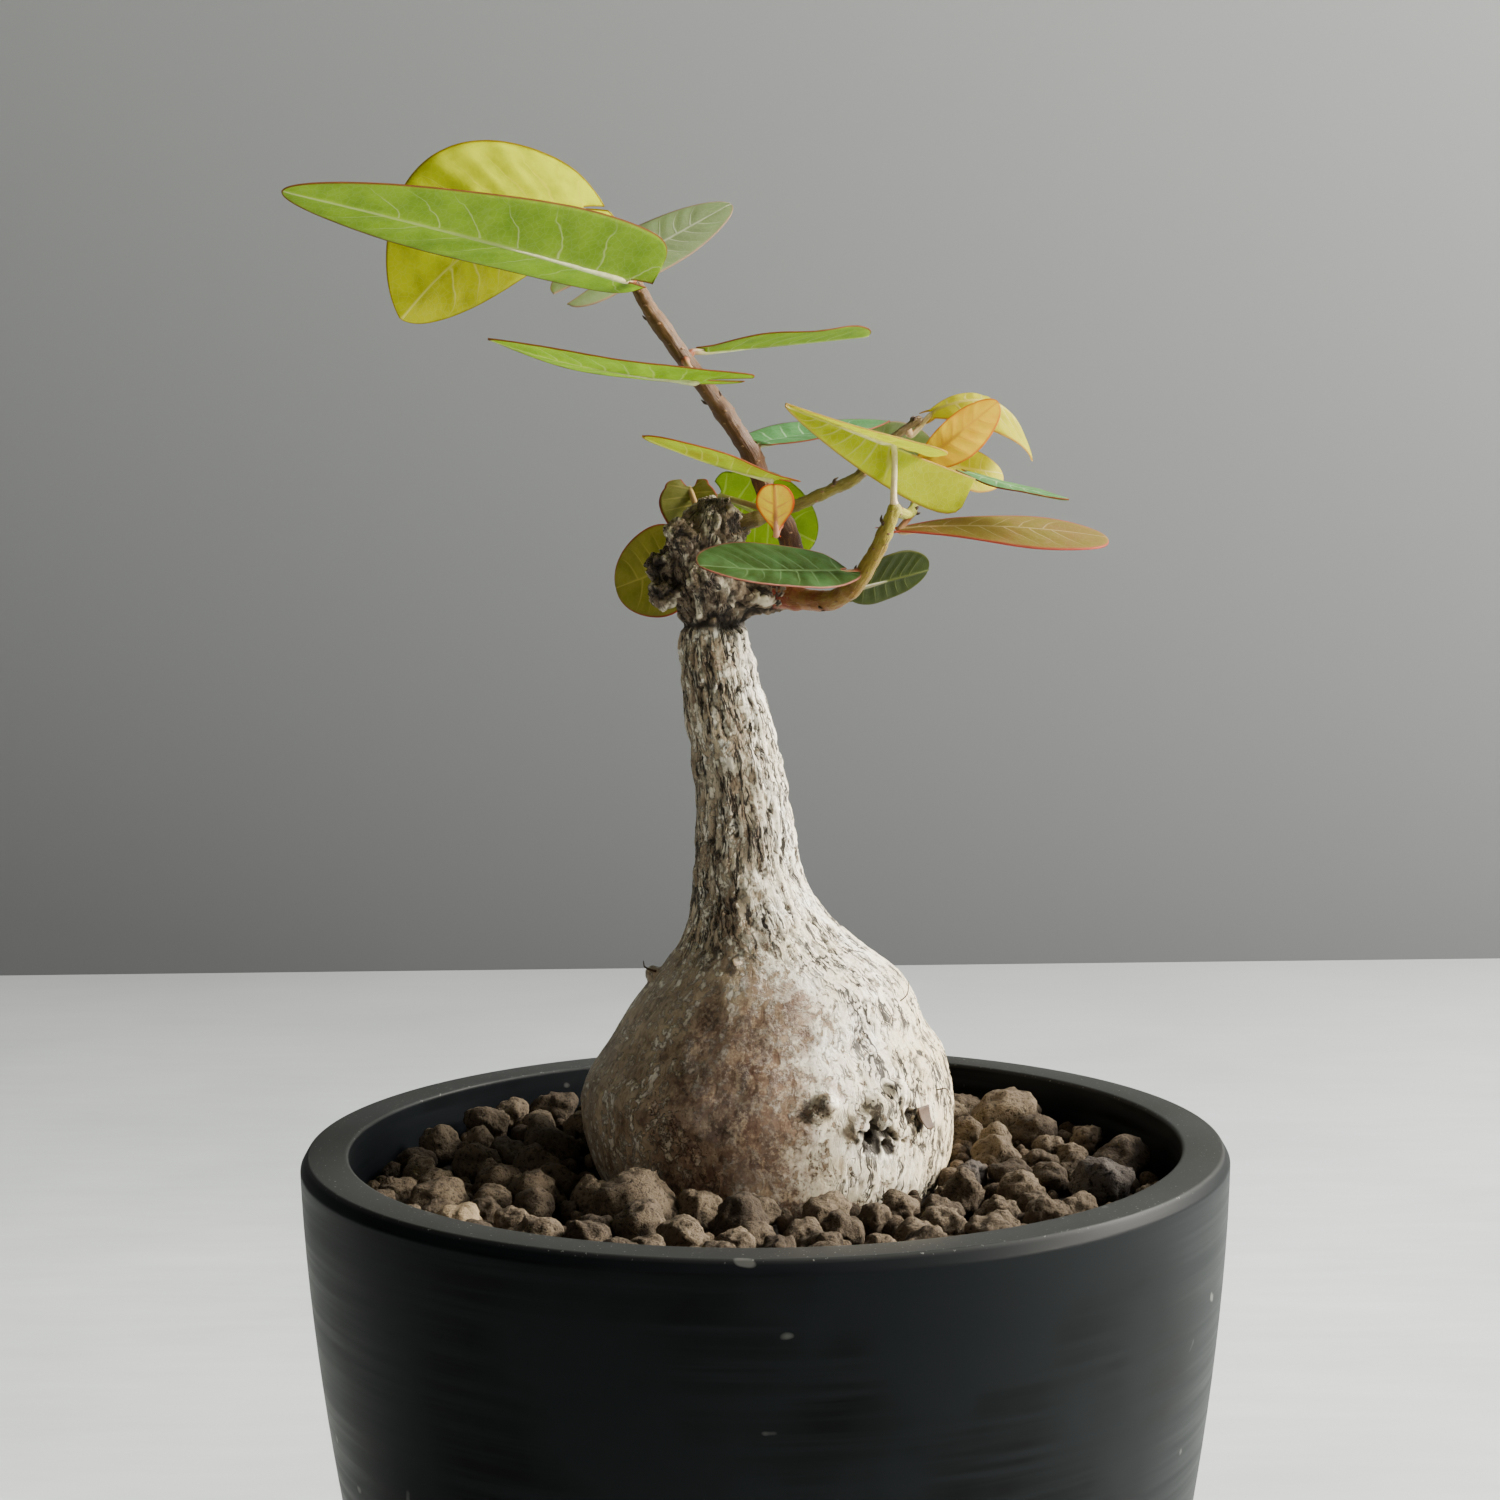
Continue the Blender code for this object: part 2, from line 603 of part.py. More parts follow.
def leaf_sheet(name, leaf, finish):
    """The blade as one sheet of triangles, with a round lobe either side of the stalk."""
    attach = leaf["attach"]
    lobe_start = leaf.get("inset", LOBE_INSET) * leaf["width"] / 2
    verts, faces = [], []

    def put(share, side, reach):
        verts.append(blade_point(leaf, share, side, reach))
        return len(verts) - 1

    body_shares = [attach + (1 - attach) * k for k in BLADE_ROWS]
    middle = [put(share, 0, 0) for share in body_shares]
    tip = put(1.0, 0, 0)
    for side in (0, 1):
        edge = [put(share, side, half_width(leaf, side, share)) for share in body_shares]
        for k in range(len(body_shares) - 1):
            faces.append((middle[k], middle[k + 1], edge[k]))
            faces.append((middle[k + 1], edge[k + 1], edge[k]))
        faces.append((middle[-1], tip, edge[-1]))
        lobe = leaf.get("lobes", (1, 1))[side]
        behind = 1 - LOBE_MIDDLE
        half_back = attach * (1 - lobe * behind)
        outer_reach = lobe_start * behind + half_width(leaf, side, attach * LOBE_MIDDLE)
        inner = put(half_back, side, lobe_start * math.sqrt(behind))
        outer = put(half_back, side, outer_reach)
        end = put(attach * (1 - lobe), side, lobe_start)
        faces.append((middle[0], edge[0], outer))
        faces.append((middle[0], outer, inner))
        faces.append((inner, outer, end))
    return mesh_object(name, verts, faces, finish)


def carrier(leaf):
    """Centre, radius and direction of what the leaf stalk grows from, nearest to the blade."""
    target = rib_point(leaf, leaf["attach"])
    if leaf["on"] in STUMP_POINTS:
        centre, radius = STUMP_POINTS[leaf["on"]]
        return Vector(centre), radius, Vector((0, 0, 1))
    path = smooth_path(SHOOTS[leaf["on"]], SHOOT_STEPS)
    nearest = min(path[1:-1], key=lambda row: (Vector(row[:3]) - target).length)
    k = path.index(nearest)
    along = (Vector(path[k + 1][:3]) - Vector(path[k - 1][:3])).normalized()
    return Vector(nearest[:3]), nearest[3], along


def leaf_stalk(name, leaf):
    """The stalk from the stem to the blade, and on along its underside as the rib."""
    up = leaf_frame(leaf)[-1]
    attach = leaf["attach"]
    target = rib_point(leaf, attach) - up * RIB[0][1]
    centre, radius, stem = carrier(leaf)
    way = target - centre
    way = (way - stem * way.dot(stem)).normalized()
    start = centre + way * (radius + GAP)
    lead = start + way * min(STALK_LEAD * (target - start).length, STALK_LEAD_MOST)
    path = [(*start, STALK_RADIUS), (*lead, STALK_RADIUS)]
    for share, drop, size in RIB:
        point = rib_point(leaf, attach + (RIB_END - attach) * share) - up * drop
        path.append((*point, size))
    return loft(name, tube_rings([Vector(p) for p in path], STALK_SIDES))


def make_leaves():
    finishes = {
        name: material("leaf_" + name, colour, 0.5) for name, colour in LEAF_COLOURS.items()
    }
    made = []
    for name, leaf in LEAVES.items():
        blade = leaf_sheet(name, leaf, finishes[leaf["colour"]])
        thicken = blade.modifiers.new("thickness", "SOLIDIFY")
        thicken.thickness = BLADE_THICKNESS * MM
        thicken.offset = 0.0
        made.append(combine(blade, [leaf_stalk(name + "_stalk", leaf)], name, solver="MANIFOLD"))
    return made


def main():
    clear_scene()
    make_pot()
    make_gravel()
    make_caudex()
    make_shoots()
    make_leaves()


main()
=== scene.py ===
# %% [markdown]
# # A potted phyllanthus
#
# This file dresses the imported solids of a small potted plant: a round black nursery pot, a bed of
# coarse gravel, a bottle-shaped woody caudex with a knobbly cut stump, three young shoots and
# twenty thin leaves that let the light through. Every length is written in millimetres, because
# that is how a gardener would measure them, and is turned to metres when a mesh is made.

# %% Start
import json
import math
import random

import bmesh
import bpy
import numpy as np
from mathutils import Matrix, Vector, noise

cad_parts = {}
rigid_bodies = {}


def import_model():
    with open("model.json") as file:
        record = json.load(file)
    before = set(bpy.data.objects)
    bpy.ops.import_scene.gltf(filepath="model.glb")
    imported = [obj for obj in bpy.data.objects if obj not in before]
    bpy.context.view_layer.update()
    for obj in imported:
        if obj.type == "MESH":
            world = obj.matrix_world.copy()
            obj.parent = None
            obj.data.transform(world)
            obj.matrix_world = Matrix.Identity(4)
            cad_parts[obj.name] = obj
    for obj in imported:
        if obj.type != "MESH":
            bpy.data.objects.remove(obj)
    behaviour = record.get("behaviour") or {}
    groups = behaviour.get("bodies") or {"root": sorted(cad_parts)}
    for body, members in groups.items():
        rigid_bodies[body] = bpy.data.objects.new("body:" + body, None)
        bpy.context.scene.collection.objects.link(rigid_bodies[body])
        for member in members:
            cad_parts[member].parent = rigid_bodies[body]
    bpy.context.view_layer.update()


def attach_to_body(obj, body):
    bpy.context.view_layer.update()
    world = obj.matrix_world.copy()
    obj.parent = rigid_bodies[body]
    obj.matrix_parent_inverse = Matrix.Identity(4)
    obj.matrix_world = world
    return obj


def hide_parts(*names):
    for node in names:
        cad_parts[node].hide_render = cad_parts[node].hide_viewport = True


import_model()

MM = 0.001

# %% [markdown]
# ## Helpers
#
# Colours are given as the hex values a paint program shows, which are sRGB. Shaders work
# in linear light, so one function turns them. One more function adds a node to any node tree. It
# fills the inputs in the order in which the node shows them, or by name. So a noise is given as
# where, scale, detail and roughness, a range as value, from, to, new from and new to, and a mix
# as share, under and over.

# %% Colour and node helpers
PREFIXES = ("GeometryNode", "FunctionNode", "ShaderNode", "")
USUAL_SETTINGS = {"Mix": {"data_type": "RGBA"}}


def linear(code):
    """An sRGB hex colour as linear red, green, blue and alpha."""
    parts = [int(code[k : k + 2], 16) / 255 for k in (1, 3, 5)]
    return (*[p / 12.92 if p <= 0.04045 else ((p + 0.055) / 1.055) ** 2.4 for p in parts], 1.0)


def per(size_mm):
    """The scale that makes a pattern's grain a size in millimetres, on coordinates in metres."""
    return 1 / (size_mm * MM)


def add(tree, kind, inputs=(), **settings):
    """Adds a node and gives its inputs values, hex colours, nodes or sockets; None leaves one alone."""
    made = tree.nodes.new(next(p + kind for p in PREFIXES if hasattr(bpy.types, p + kind)))
    for name, value in {**USUAL_SETTINGS.get(kind, {}), **settings}.items():
        setattr(made, name, value)
    shown = [socket for socket in made.inputs if socket.enabled]
    named = isinstance(inputs, dict)
    for key, value in inputs.items() if named else enumerate(inputs):
        target = next(socket for socket in shown if socket.name == key) if named else shown[key]
        if isinstance(value, bpy.types.Node):
            value = next(socket for socket in value.outputs if socket.enabled)
        if isinstance(value, bpy.types.NodeSocket):
            tree.links.new(value, target)
        elif value is not None:
            is_colour = isinstance(value, str) and value.startswith("#")
            target.default_value = linear(value) if is_colour else value
    return made


def new_finish(name):
    """An empty material and its node tree."""
    finish = bpy.data.materials.new(name)
    finish.use_nodes = True
    finish.node_tree.nodes.clear()
    return finish, finish.node_tree


# %% [markdown]
# Meshes are built from plain lists of points in millimetres. A modifier is baked down to a plain
# mesh before the piece is seated on the frame, because the export takes meshes alone.

# %% Mesh helpers
def mesh_piece(name, verts, faces, finish=None, attributes=None, shade=True):
    """A new object from points in millimetres, faces and float or vector values for each point."""
    mesh = bpy.data.meshes.new(name)
    mesh.from_pydata([(x * MM, y * MM, z * MM) for x, y, z in verts], [], faces)
    for label, values in (attributes or {}).items():
        values = np.asarray(values, dtype=np.float32)
        kind, field = ("FLOAT", "value") if values.ndim == 1 else ("FLOAT_VECTOR", "vector")
        mesh.attributes.new(label, kind, "POINT").data.foreach_set(field, values.ravel())
    if shade:
        mesh.shade_smooth()
    if finish:
        mesh.materials.append(finish)
    thing = bpy.data.objects.new(name, mesh)
    bpy.context.scene.collection.objects.link(thing)
    return thing


def face_out(thing):
    """Turns a closed mesh's faces to point outwards."""
    work = bmesh.new()
    work.from_mesh(thing.data)
    bmesh.ops.recalc_face_normals(work, faces=work.faces)
    work.to_mesh(thing.data)
    work.free()
    return thing


def bake_down(thing):
    """Turns an object's modifiers into its mesh and drops them."""
    mesh = bpy.data.meshes.new_from_object(thing.evaluated_get(bpy.context.evaluated_depsgraph_get()))
    thing.modifiers.clear()
    thing.data = mesh
    mesh.name = thing.name
    return thing


def set_aside(label, things):
    """Moves objects out of the scene into a collection of their own."""
    group = bpy.data.collections.new(label)
    for thing in things:
        bpy.context.scene.collection.objects.unlink(thing)
        group.objects.link(thing)
    return group


def clear_away(group):
    """Deletes a collection with its objects."""
    for thing in list(group.objects):
        bpy.data.objects.remove(thing, do_unlink=True)
    bpy.data.collections.remove(group)


def seat(piece, slot, *nodes):
    """Puts a finished piece on the frame: it rides on the one body and stands for CAD nodes."""
    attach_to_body(piece, "root")
    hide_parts(*nodes)
    piece.data.calc_loop_triangles()
    print(piece.name, len(piece.data.loop_triangles), "triangles")


# %% [markdown]
# ## Camera
#
# The photograph was taken from the front, a little above the rim, with a longish lens. The
# camera's place comes from the two ellipses of the pot's rim.

# %% Camera
CAMERA_PLACE = (0.0, -336.3, 161.9)
PITCH_DOWN, ROLL, YAW = 0.0990, -0.0100, -0.0037
LENS, SENSOR = 72.0, 36.0

camera_data = bpy.data.cameras.new("camera")
camera_data.lens = LENS
camera_data.sensor_width = SENSOR
camera = bpy.data.objects.new("camera", camera_data)
bpy.context.scene.collection.objects.link(camera)
forward = Vector((
    math.sin(YAW) * math.cos(PITCH_DOWN), math.cos(YAW) * math.cos(PITCH_DOWN), -math.sin(PITCH_DOWN),
))
level = Vector((math.cos(YAW), -math.sin(YAW), 0.0))
upward = level.cross(forward)
right = level * math.cos(ROLL) + upward * math.sin(ROLL)
upward = upward * math.cos(ROLL) - level * math.sin(ROLL)
axes = Matrix((right, upward, -forward)).transposed()
camera.matrix_world = Matrix.Translation(Vector(CAMERA_PLACE) * MM) @ axes.to_4x4()
bpy.context.scene.camera = camera
print("camera at", [round(c, 4) for c in camera.location])

# %% [markdown]
# ## Floor, wall and light
#
# The plant stands on a pale table before a plain grey wall. The table is trowelled, so soft
# clouds and faint strokes keep it from looking like paper, and painted shade turns it grey at the back.
# The wall is matt, and painted light makes it lighter upwards and to the right, which lets the leaves
# stand out.

# %% Floor and wall
WALL_DISTANCE = 600.0
WALL_TURN = -0.012
WALL_SIZE = 6000.0
CLOUD_MM = 71.4
STROKE_MM = (33.3, 6.67, 1000.0)

# A dull, pale and slightly cloudy ground that sends light back up under the rim
table_top, tree = new_finish("pale_trowelled_table")
at = add(tree, "TexCoord").outputs["Object"]
tone = add(tree, "Mix", [add(tree, "TexNoise", [at, per(CLOUD_MM), 8.0]), "#bcc5c6", "#f0f8f8"])
strokes_at = add(tree, "Mapping", {
    "Vector": at, "Rotation": (0, 0, 0.5), "Scale": [per(size) for size in STROKE_MM],
})
strokes = add(tree, "TexNoise", [strokes_at, 1.0, 6.0, 0.6])
tone = add(tree, "Mix", [add(tree, "MapRange", [strokes, 0.35, 0.65, 0.0, 0.18]), tone, "#b4b6b1"])
# Painted shade: the table's colour turns grey towards the back
far_painted_shade = add(tree, "MapRange", [add(tree, "SeparateXYZ", [at]).outputs["Y"], 0.25, 0.6, 0.0, 0.75])
tone = add(tree, "Mix", [far_painted_shade, tone, "#a3a6a7"])
add(tree, "OutputMaterial", [add(tree, "BsdfPrincipled", {"Base Color": tone, "Roughness": 0.7})])

# A flat grey without any shine, with painted shade that makes it darkest low on the left
grey_wall, tree = new_finish("matt_grey_wall")
along_x, _, height = add(tree, "SeparateXYZ", [add(tree, "TexCoord").outputs["Object"]]).outputs
# Painted light and shade: the wall's colour is lighter upwards and towards the right
height = add(tree, "MapRange", [height, -0.02, 0.36, 0.0, 0.9])
side = add(tree, "MapRange", [along_x, -0.25, 0.25, -0.1, 0.15])
painted_wall_light = add(tree, "Math", [height, side], operation="ADD", use_clamp=True)
tone = add(tree, "Mix", [painted_wall_light, "#66686a", "#939696"])
add(tree, "OutputMaterial", [add(tree, "BsdfPrincipled", {"Base Color": tone, "Roughness": 0.95})])

half = WALL_SIZE / 2
floor_corners = [(-half, -half, 0), (half, -half, 0), (half, half, 0), (-half, half, 0)]
floor = mesh_piece("floor", floor_corners, [(0, 1, 2, 3)], table_top, shade=False)
wall_corners = [
    (side, WALL_DISTANCE + side * math.tan(-WALL_TURN), height)
    for side, height in ((-half, -1), (half, -1), (half, half), (-half, half))
]
wall = mesh_piece("wall", wall_corners, [(3, 2, 1, 0)], grey_wall, shade=False)

# %% [markdown]
# A window to the right and a little behind gives the one strong light, which lights the bulb's
# right side and shines through the leaves. A weak, wide fill from the front keeps the shaded side
# readable, a narrow glow from the right stands for light that a pale surface beside the plant
# sends back on the bulb, and a wash of light fades across the wall.

# %% Lights
def soft_light(name, place, target, size, power, colour, spread=180):
    """A square area light at a place, aimed at a target, both in millimetres."""
    data = bpy.data.lights.new(name, "AREA")
    data.size = size * MM
    data.energy = power
    data.spread = math.radians(spread)
    data.color = linear(colour)[:3]
    lamp = bpy.data.objects.new(name, data)
    bpy.context.scene.collection.objects.link(lamp)
    lamp.location = Vector(place) * MM
    lamp.rotation_mode = "QUATERNION"
    lamp.rotation_quaternion = (Vector(target) - Vector(place)).to_track_quat("-Z", "Y")
    lamp.visible_camera = False


soft_light("window", (900, 260, 620), (0, 0, 120), 380, 34.0, "#fffaf0")
soft_light("front_fill", (-500, -1100, 500), (0, 0, 100), 900, 2.7, "#fff6ea")
soft_light("bulb_glow", (700, -160, 300), (14, 8, 88), 300, 0.6, "#fff8ea", 26)
soft_light("wall_wash", (1000, 220, 1250), (500, 600, 560), 400, 11.0, "#ffffff")

world = bpy.data.worlds.new("room_light")
world.use_nodes = True
world.node_tree.nodes["Background"].inputs["Color"].default_value = linear("#b9bcbd")
world.node_tree.nodes["Background"].inputs["Strength"].default_value = 0.08
bpy.context.scene.world = world

# %% [markdown]
# ## Pot
#
# The pot is one moulding of black plastic, so it is one profile spun round its axis: a side that
# curves in towards the foot, a flat rim with a narrow bevel, a smooth inner wall and a floor with
# drain holes. The holes are cut with a Boolean, as a drill would.

# %% Pot sizes
POT_HEIGHT = 84.0
RIM_RADIUS, FOOT_RADIUS = 52.5, 39.0
TAPER_POWER = 1.66
RIM_WALL, SIDE_WALL = 5.4, 4.0
RIM_WALL_DEPTH = 30.0
BASE_THICKNESS = 4.0
BEVEL_WIDTH, BEVEL_HEIGHT = 0.8, 1.4
FOOT_ROUND = 1.2
POT_SIDES = 224
DRAIN_COUNT, DRAIN_RADIUS, DRAIN_CIRCLE = 6, 4.0, 22.0


def pot_outside(z):
    drop = (POT_HEIGHT - z) / POT_HEIGHT
    return RIM_RADIUS - (RIM_RADIUS - FOOT_RADIUS) * drop**TAPER_POWER


def pot_inside(z):
    share = min((POT_HEIGHT - z) / RIM_WALL_DEPTH, 1.0)
    return pot_outside(z) - (RIM_WALL + (SIDE_WALL - RIM_WALL) * share)


# %% Round bodies
def circle(sides):
    """Cosine and sine of each corner of a regular polygon."""
    turns = [2 * math.pi * s / sides for s in range(sides)]
    return [(math.cos(turn), math.sin(turn)) for turn in turns]


def ring_faces(rows, sides):
    """Four-sided faces between rings of points, row after row."""
    steps = [(s, (s + 1) % sides) for s in range(sides)]
    return [
        (k * sides + s, k * sides + following, (k + 1) * sides + following, (k + 1) * sides + s)
        for k in range(rows - 1) for s, following in steps
    ]


def rounded(corner, before, after, reach, count=4):
    """Points of a small round over a corner of a profile, each point as (radius, height)."""
    corner, before, after = Vector(corner), Vector(before), Vector(after)
    start = corner + (before - corner).normalized() * reach
    end = corner + (after - corner).normalized() * reach
    shares = [k / count for k in range(count + 1)]
    return [start * (1 - t) ** 2 + corner * 2 * t * (1 - t) + end * t**2 for t in shares]


def lathe(name, profile, sides, finish):
    """A closed body of revolution from (radius, height) points."""
    verts = [(radius * c, radius * s, height) for radius, height in profile for c, s in circle(sides)]
    ends = [list(range(sides))[::-1], list(range(len(verts) - sides, len(verts)))]
    return face_out(mesh_piece(name, verts, ring_faces(len(profile), sides) + ends, finish))


def tube(path, sides, swell=None):
    """Points, faces, and (share, angle) of a closed tube along a path of (x, y, z, radius)."""
    verts, places = [], []
    across = None
    last = len(path) - 1
    for k, row in enumerate(path):
        along = (Vector(path[min(k + 1, last)][:3]) - Vector(path[max(k - 1, 0)][:3])).normalized()
        across = across or along.orthogonal().normalized()
        across = (across - along * across.dot(along)).normalized()
        other = along.cross(across)
        for c, s in circle(sides):
            way = across * c + other * s
            point = Vector(row[:3]) + way * row[3]
            if swell:
                point += way * swell(point, k / last)
            verts.append(point)
            places.append((k / last, c, s))
    faces = ring_faces(len(path), sides)
    for row, share in ((0, 0.0), (last, 1.0)):
        middle = len(verts)
        verts.append(Vector(path[row][:3]))
        places.append((share, 0.0, 0.0))
        for s in range(sides):
            pair = (row * sides + s, row * sides + (s + 1) % sides)
            faces.append((middle, *(pair[::-1] if row == 0 else pair)))
    return verts, faces, places


# %% [markdown]
# The plastic is moulded polypropylene: satin, nearly black, with the fine level streaks that a
# soft brush or a cloth leaves, pale dust on the rim and a few light scuffs. Streaks are noise that
# is stretched round the pot and squeezed in height. Polypropylene's IOR is about 1.49.

# %% Pot finish
STREAK_MM = (34.0, 34.0, 1.1)
WIPED_MM, SCUFF_MM = 22.2, 3.85
DUST_MM = 0.35
RIM_TOP_FROM, RIM_TOP_TO = 0.0835, 0.0839

# A deep, quiet black that shows its round form only by wide, soft highlights
pot_plastic, tree = new_finish("moulded_polypropylene_black")
at = add(tree, "TexCoord").outputs["Object"]
streaks = add(tree, "Mapping", {"Vector": at, "Scale": [per(size) for size in STREAK_MM]})
streaks = add(tree, "TexNoise", [streaks, 1.0, 4.0])
where = add(tree, "MapRange", [add(tree, "TexNoise", [at, per(WIPED_MM), 3.0]), 0.45, 0.65])
wiped = add(tree, "MapRange", [streaks, 0.42, 0.62, 1.0, 0.0])
wiped = add(tree, "Math", [where, wiped], operation="MULTIPLY")
on_top = add(tree, "SeparateXYZ", [at]).outputs["Z"]
on_top = add(tree, "MapRange", [on_top, RIM_TOP_FROM, RIM_TOP_TO])
specks = add(tree, "TexNoise", [at, per(DUST_MM), 2.0])
specks = add(tree, "MapRange", [specks, 0.66, 0.74, 0.0, 0.5])
dusty = add(tree, "Math", [specks, on_top], operation="MULTIPLY")
film = add(tree, "Math", [on_top, 0.05], operation="MULTIPLY")
cover = add(tree, "Math", [dusty, film], operation="MAXIMUM")
scuffs = add(tree, "TexNoise", [at, per(SCUFF_MM), 1.0])
scuffs = add(tree, "MapRange", [scuffs, 0.76, 0.80, 0.0, 0.22])
cover = add(tree, "Math", [cover, scuffs], operation="MAXIMUM")
tone = add(tree, "Mix", [wiped, "#121518", "#040506"])
tone = add(tree, "Mix", [cover, tone, "#a9aaa4"])
gloss = add(tree, "MapRange", [streaks, 0.3, 0.7, 0.4, 0.5])
dents = add(tree, "Bump", {"Height": streaks, "Distance": 0.00004, "Strength": 0.5})
add(tree, "OutputMaterial", [add(tree, "BsdfPrincipled", {
    "Base Color": tone, "Roughness": gloss, "IOR": 1.49, "Specular IOR Level": 0.07, "Normal": dents,
})])

# %% Pot body
rim_outer = (RIM_RADIUS - BEVEL_WIDTH, POT_HEIGHT)
bevel_foot = (RIM_RADIUS, POT_HEIGHT - BEVEL_HEIGHT)
rim_inner = (pot_inside(POT_HEIGHT), POT_HEIGHT)
below_bevel = (pot_outside(POT_HEIGHT - 6), POT_HEIGHT - 6)
below_rim = (pot_inside(POT_HEIGHT - 3), POT_HEIGHT - 3)

profile = [
    Vector((pot_outside(0) - FOOT_ROUND * (1 - math.cos(a)), FOOT_ROUND * (1 - math.sin(a))))
    for a in np.linspace(math.pi / 2, 0, 6)
]
profile += [Vector((pot_outside(z), z)) for z in np.linspace(4, POT_HEIGHT - 4, 22)]
profile += rounded(bevel_foot, below_bevel, rim_outer, 0.25)
profile += rounded(rim_outer, bevel_foot, rim_inner, 0.25)
profile += rounded(rim_inner, rim_outer, below_rim, 0.5)
profile += [Vector((pot_inside(z), z)) for z in np.linspace(POT_HEIGHT - 3, BASE_THICKNESS, 16)]
pot = lathe("nursery_pot", profile, POT_SIDES, pot_plastic)
drills = []
for k, (c, s) in enumerate(circle(DRAIN_COUNT)):
    place = Vector((DRAIN_CIRCLE * c, DRAIN_CIRCLE * s, 0))
    drill_path = [(*(place + Vector((0, 0, z))), DRAIN_RADIUS) for z in (-3.0, BASE_THICKNESS + 3)]
    drills.append(face_out(mesh_piece(f"drill_{k}", *tube(drill_path, 48)[:2])))
drills = set_aside("drills", drills)
cut = pot.modifiers.new("drain holes", "BOOLEAN")
cut.operation = "DIFFERENCE"
cut.operand_type = "COLLECTION"
cut.collection = drills
bake_down(pot)
clear_away(drills)
pot.data.set_sharp_from_angle(angle=math.radians(40))
seat(pot, "pot_plastic", "pot")

# %% [markdown]
# ## Gravel
#
# The bed is loose porous grit. Its large grains lie where the CAD has them, by the same seeded
# rule, and a tree of Geometry Nodes puts one of eight stone forms on each, turned and scaled, then
# pushes the skin in and out with noise so that no two stones are alike. Small grit fills the gaps
# between them. A core under the grains, painted almost black as shade, closes the view down.

# %% Gravel sizes
SOIL_LEVEL = 77.6
SOIL_HEAPS = ((-30.0, 27.0, 1.8, 14.8), (34.0, 22.0, 1.0, 14.1))
GRAIN_SEED, GRAIN_TRIES = 7, 5000
GRAIN_SMALLEST, GRAIN_LARGEST = 2.3, 3.6
GRAIN_SPACING = 0.9
GRAIN_RISE = 0.3
GRAIN_ROUGHNESS = 0.12
WALL_MARGIN, CAUDEX_MARGIN = 0.9, 22.4
CAUDEX_DEPTH = 13.0
CAUDEX_AT_SOIL = (0.8, 20.8)
STONES = (
    (29.8, 27.0, 4.6), (41.4, 7.0, 3.8), (38.8, 19.5, 2.1), (34.0, 14.6, 2.2), (-14.6, -11.6, 5.2),
    (-25.6, -9.4, 2.8), (12.0, -29.0, 2.7), (-33.4, -17.0, 3.0), (38.0, -4.0, 4.4), (23.8, 3.2, 2.2),
    (-26.4, 32.4, 3.4), (-34.0, 25.4, 3.0), (-43.8, 9.2, 1.4), (6.6, -13.4, 3.0),
)
TAN_STONES, LAVA_STONES = (7,), (8, 9)


def soil_height(x, y):
    """Height of the bed below the grains, with its heaps."""
    return SOIL_LEVEL + sum(
        lift * math.exp(-((x - a) ** 2 + (y - b) ** 2) / spread**2)
        for a, b, lift, spread in SOIL_HEAPS
    )


def grain_places():
    """Places and half widths of the grains: the large stones, then a seeded scatter round them."""
    draw = random.Random(GRAIN_SEED)
    placed = list(STONES)
    outside = pot_inside(SOIL_LEVEL) - WALL_MARGIN
    roughest = 1 + GRAIN_ROUGHNESS
    for _ in range(GRAIN_TRIES):
        size = draw.uniform(GRAIN_SMALLEST, GRAIN_LARGEST)
        reach = outside * math.sqrt(draw.random())
        turn = draw.uniform(0, 2 * math.pi)
        x, y = reach * math.cos(turn), reach * math.sin(turn)
        if reach > outside - roughest * size:
            continue
        if math.hypot(x - CAUDEX_AT_SOIL[0], y - CAUDEX_DEPTH) < CAUDEX_MARGIN + roughest * size:
            continue
        if all(math.hypot(x - a, y - b) > GRAIN_SPACING * (size + c) for a, b, c in placed):
            placed.append((x, y, size))
    return placed


# %% [markdown]
# A broken stone is a lump that was cut by a few flat breaks and then rolled about until its edges
# were blunt. Each form is a ball whose points are pulled in to the nearest of nine random planes,
# blended with the ball itself.

# %% Stone forms
FORM_COUNT = 8
FORM_SEED = 300
BREAKS = 9
BLUNT = 0.35


def ball(divisions):
    """Points and faces of a ball of radius 1."""
    work = bmesh.new()
    bmesh.ops.create_icosphere(work, subdivisions=divisions, radius=1.0)
    points = [corner.co.copy() for corner in work.verts]
    faces = [[corner.index for corner in face.verts] for face in work.faces]
    work.free()
    return points, faces


def stone_form(number, divisions):
    """A blunt broken stone about one unit in half width, kept in millimetres."""
    draw = random.Random(FORM_SEED + number)
    planes = []
    for _ in range(BREAKS):
        way = Vector((draw.gauss(0, 1), draw.gauss(0, 1), draw.gauss(0, 1))).normalized()
        planes.append((way, draw.uniform(0.68, 0.98)))
    points, faces = ball(divisions)
    verts = []
    for point in points:
        way = point.normalized()
        reach = 1.0
        for normal, distance in planes:
            facing = way.dot(normal)
            if facing > 0.05:
                reach = min(reach, distance / facing)
        lump = 0.10 * noise.noise(way * 1.6 + Vector((number * 7.0, 0, 0)))
        verts.append(way * (reach * (1 - BLUNT) + BLUNT * 0.92 + lump))
    return mesh_piece(f"stone_form_{number}", verts, faces)


def stone_forms(label, divisions):
    return set_aside(label, [stone_form(number, divisions) for number in range(FORM_COUNT)])


# %% [markdown]
# Geometry Nodes make what repeats. A tree is built with named inputs, run once on a host object
# with those inputs set, and its result is kept as a plain mesh, because the export drops instances.

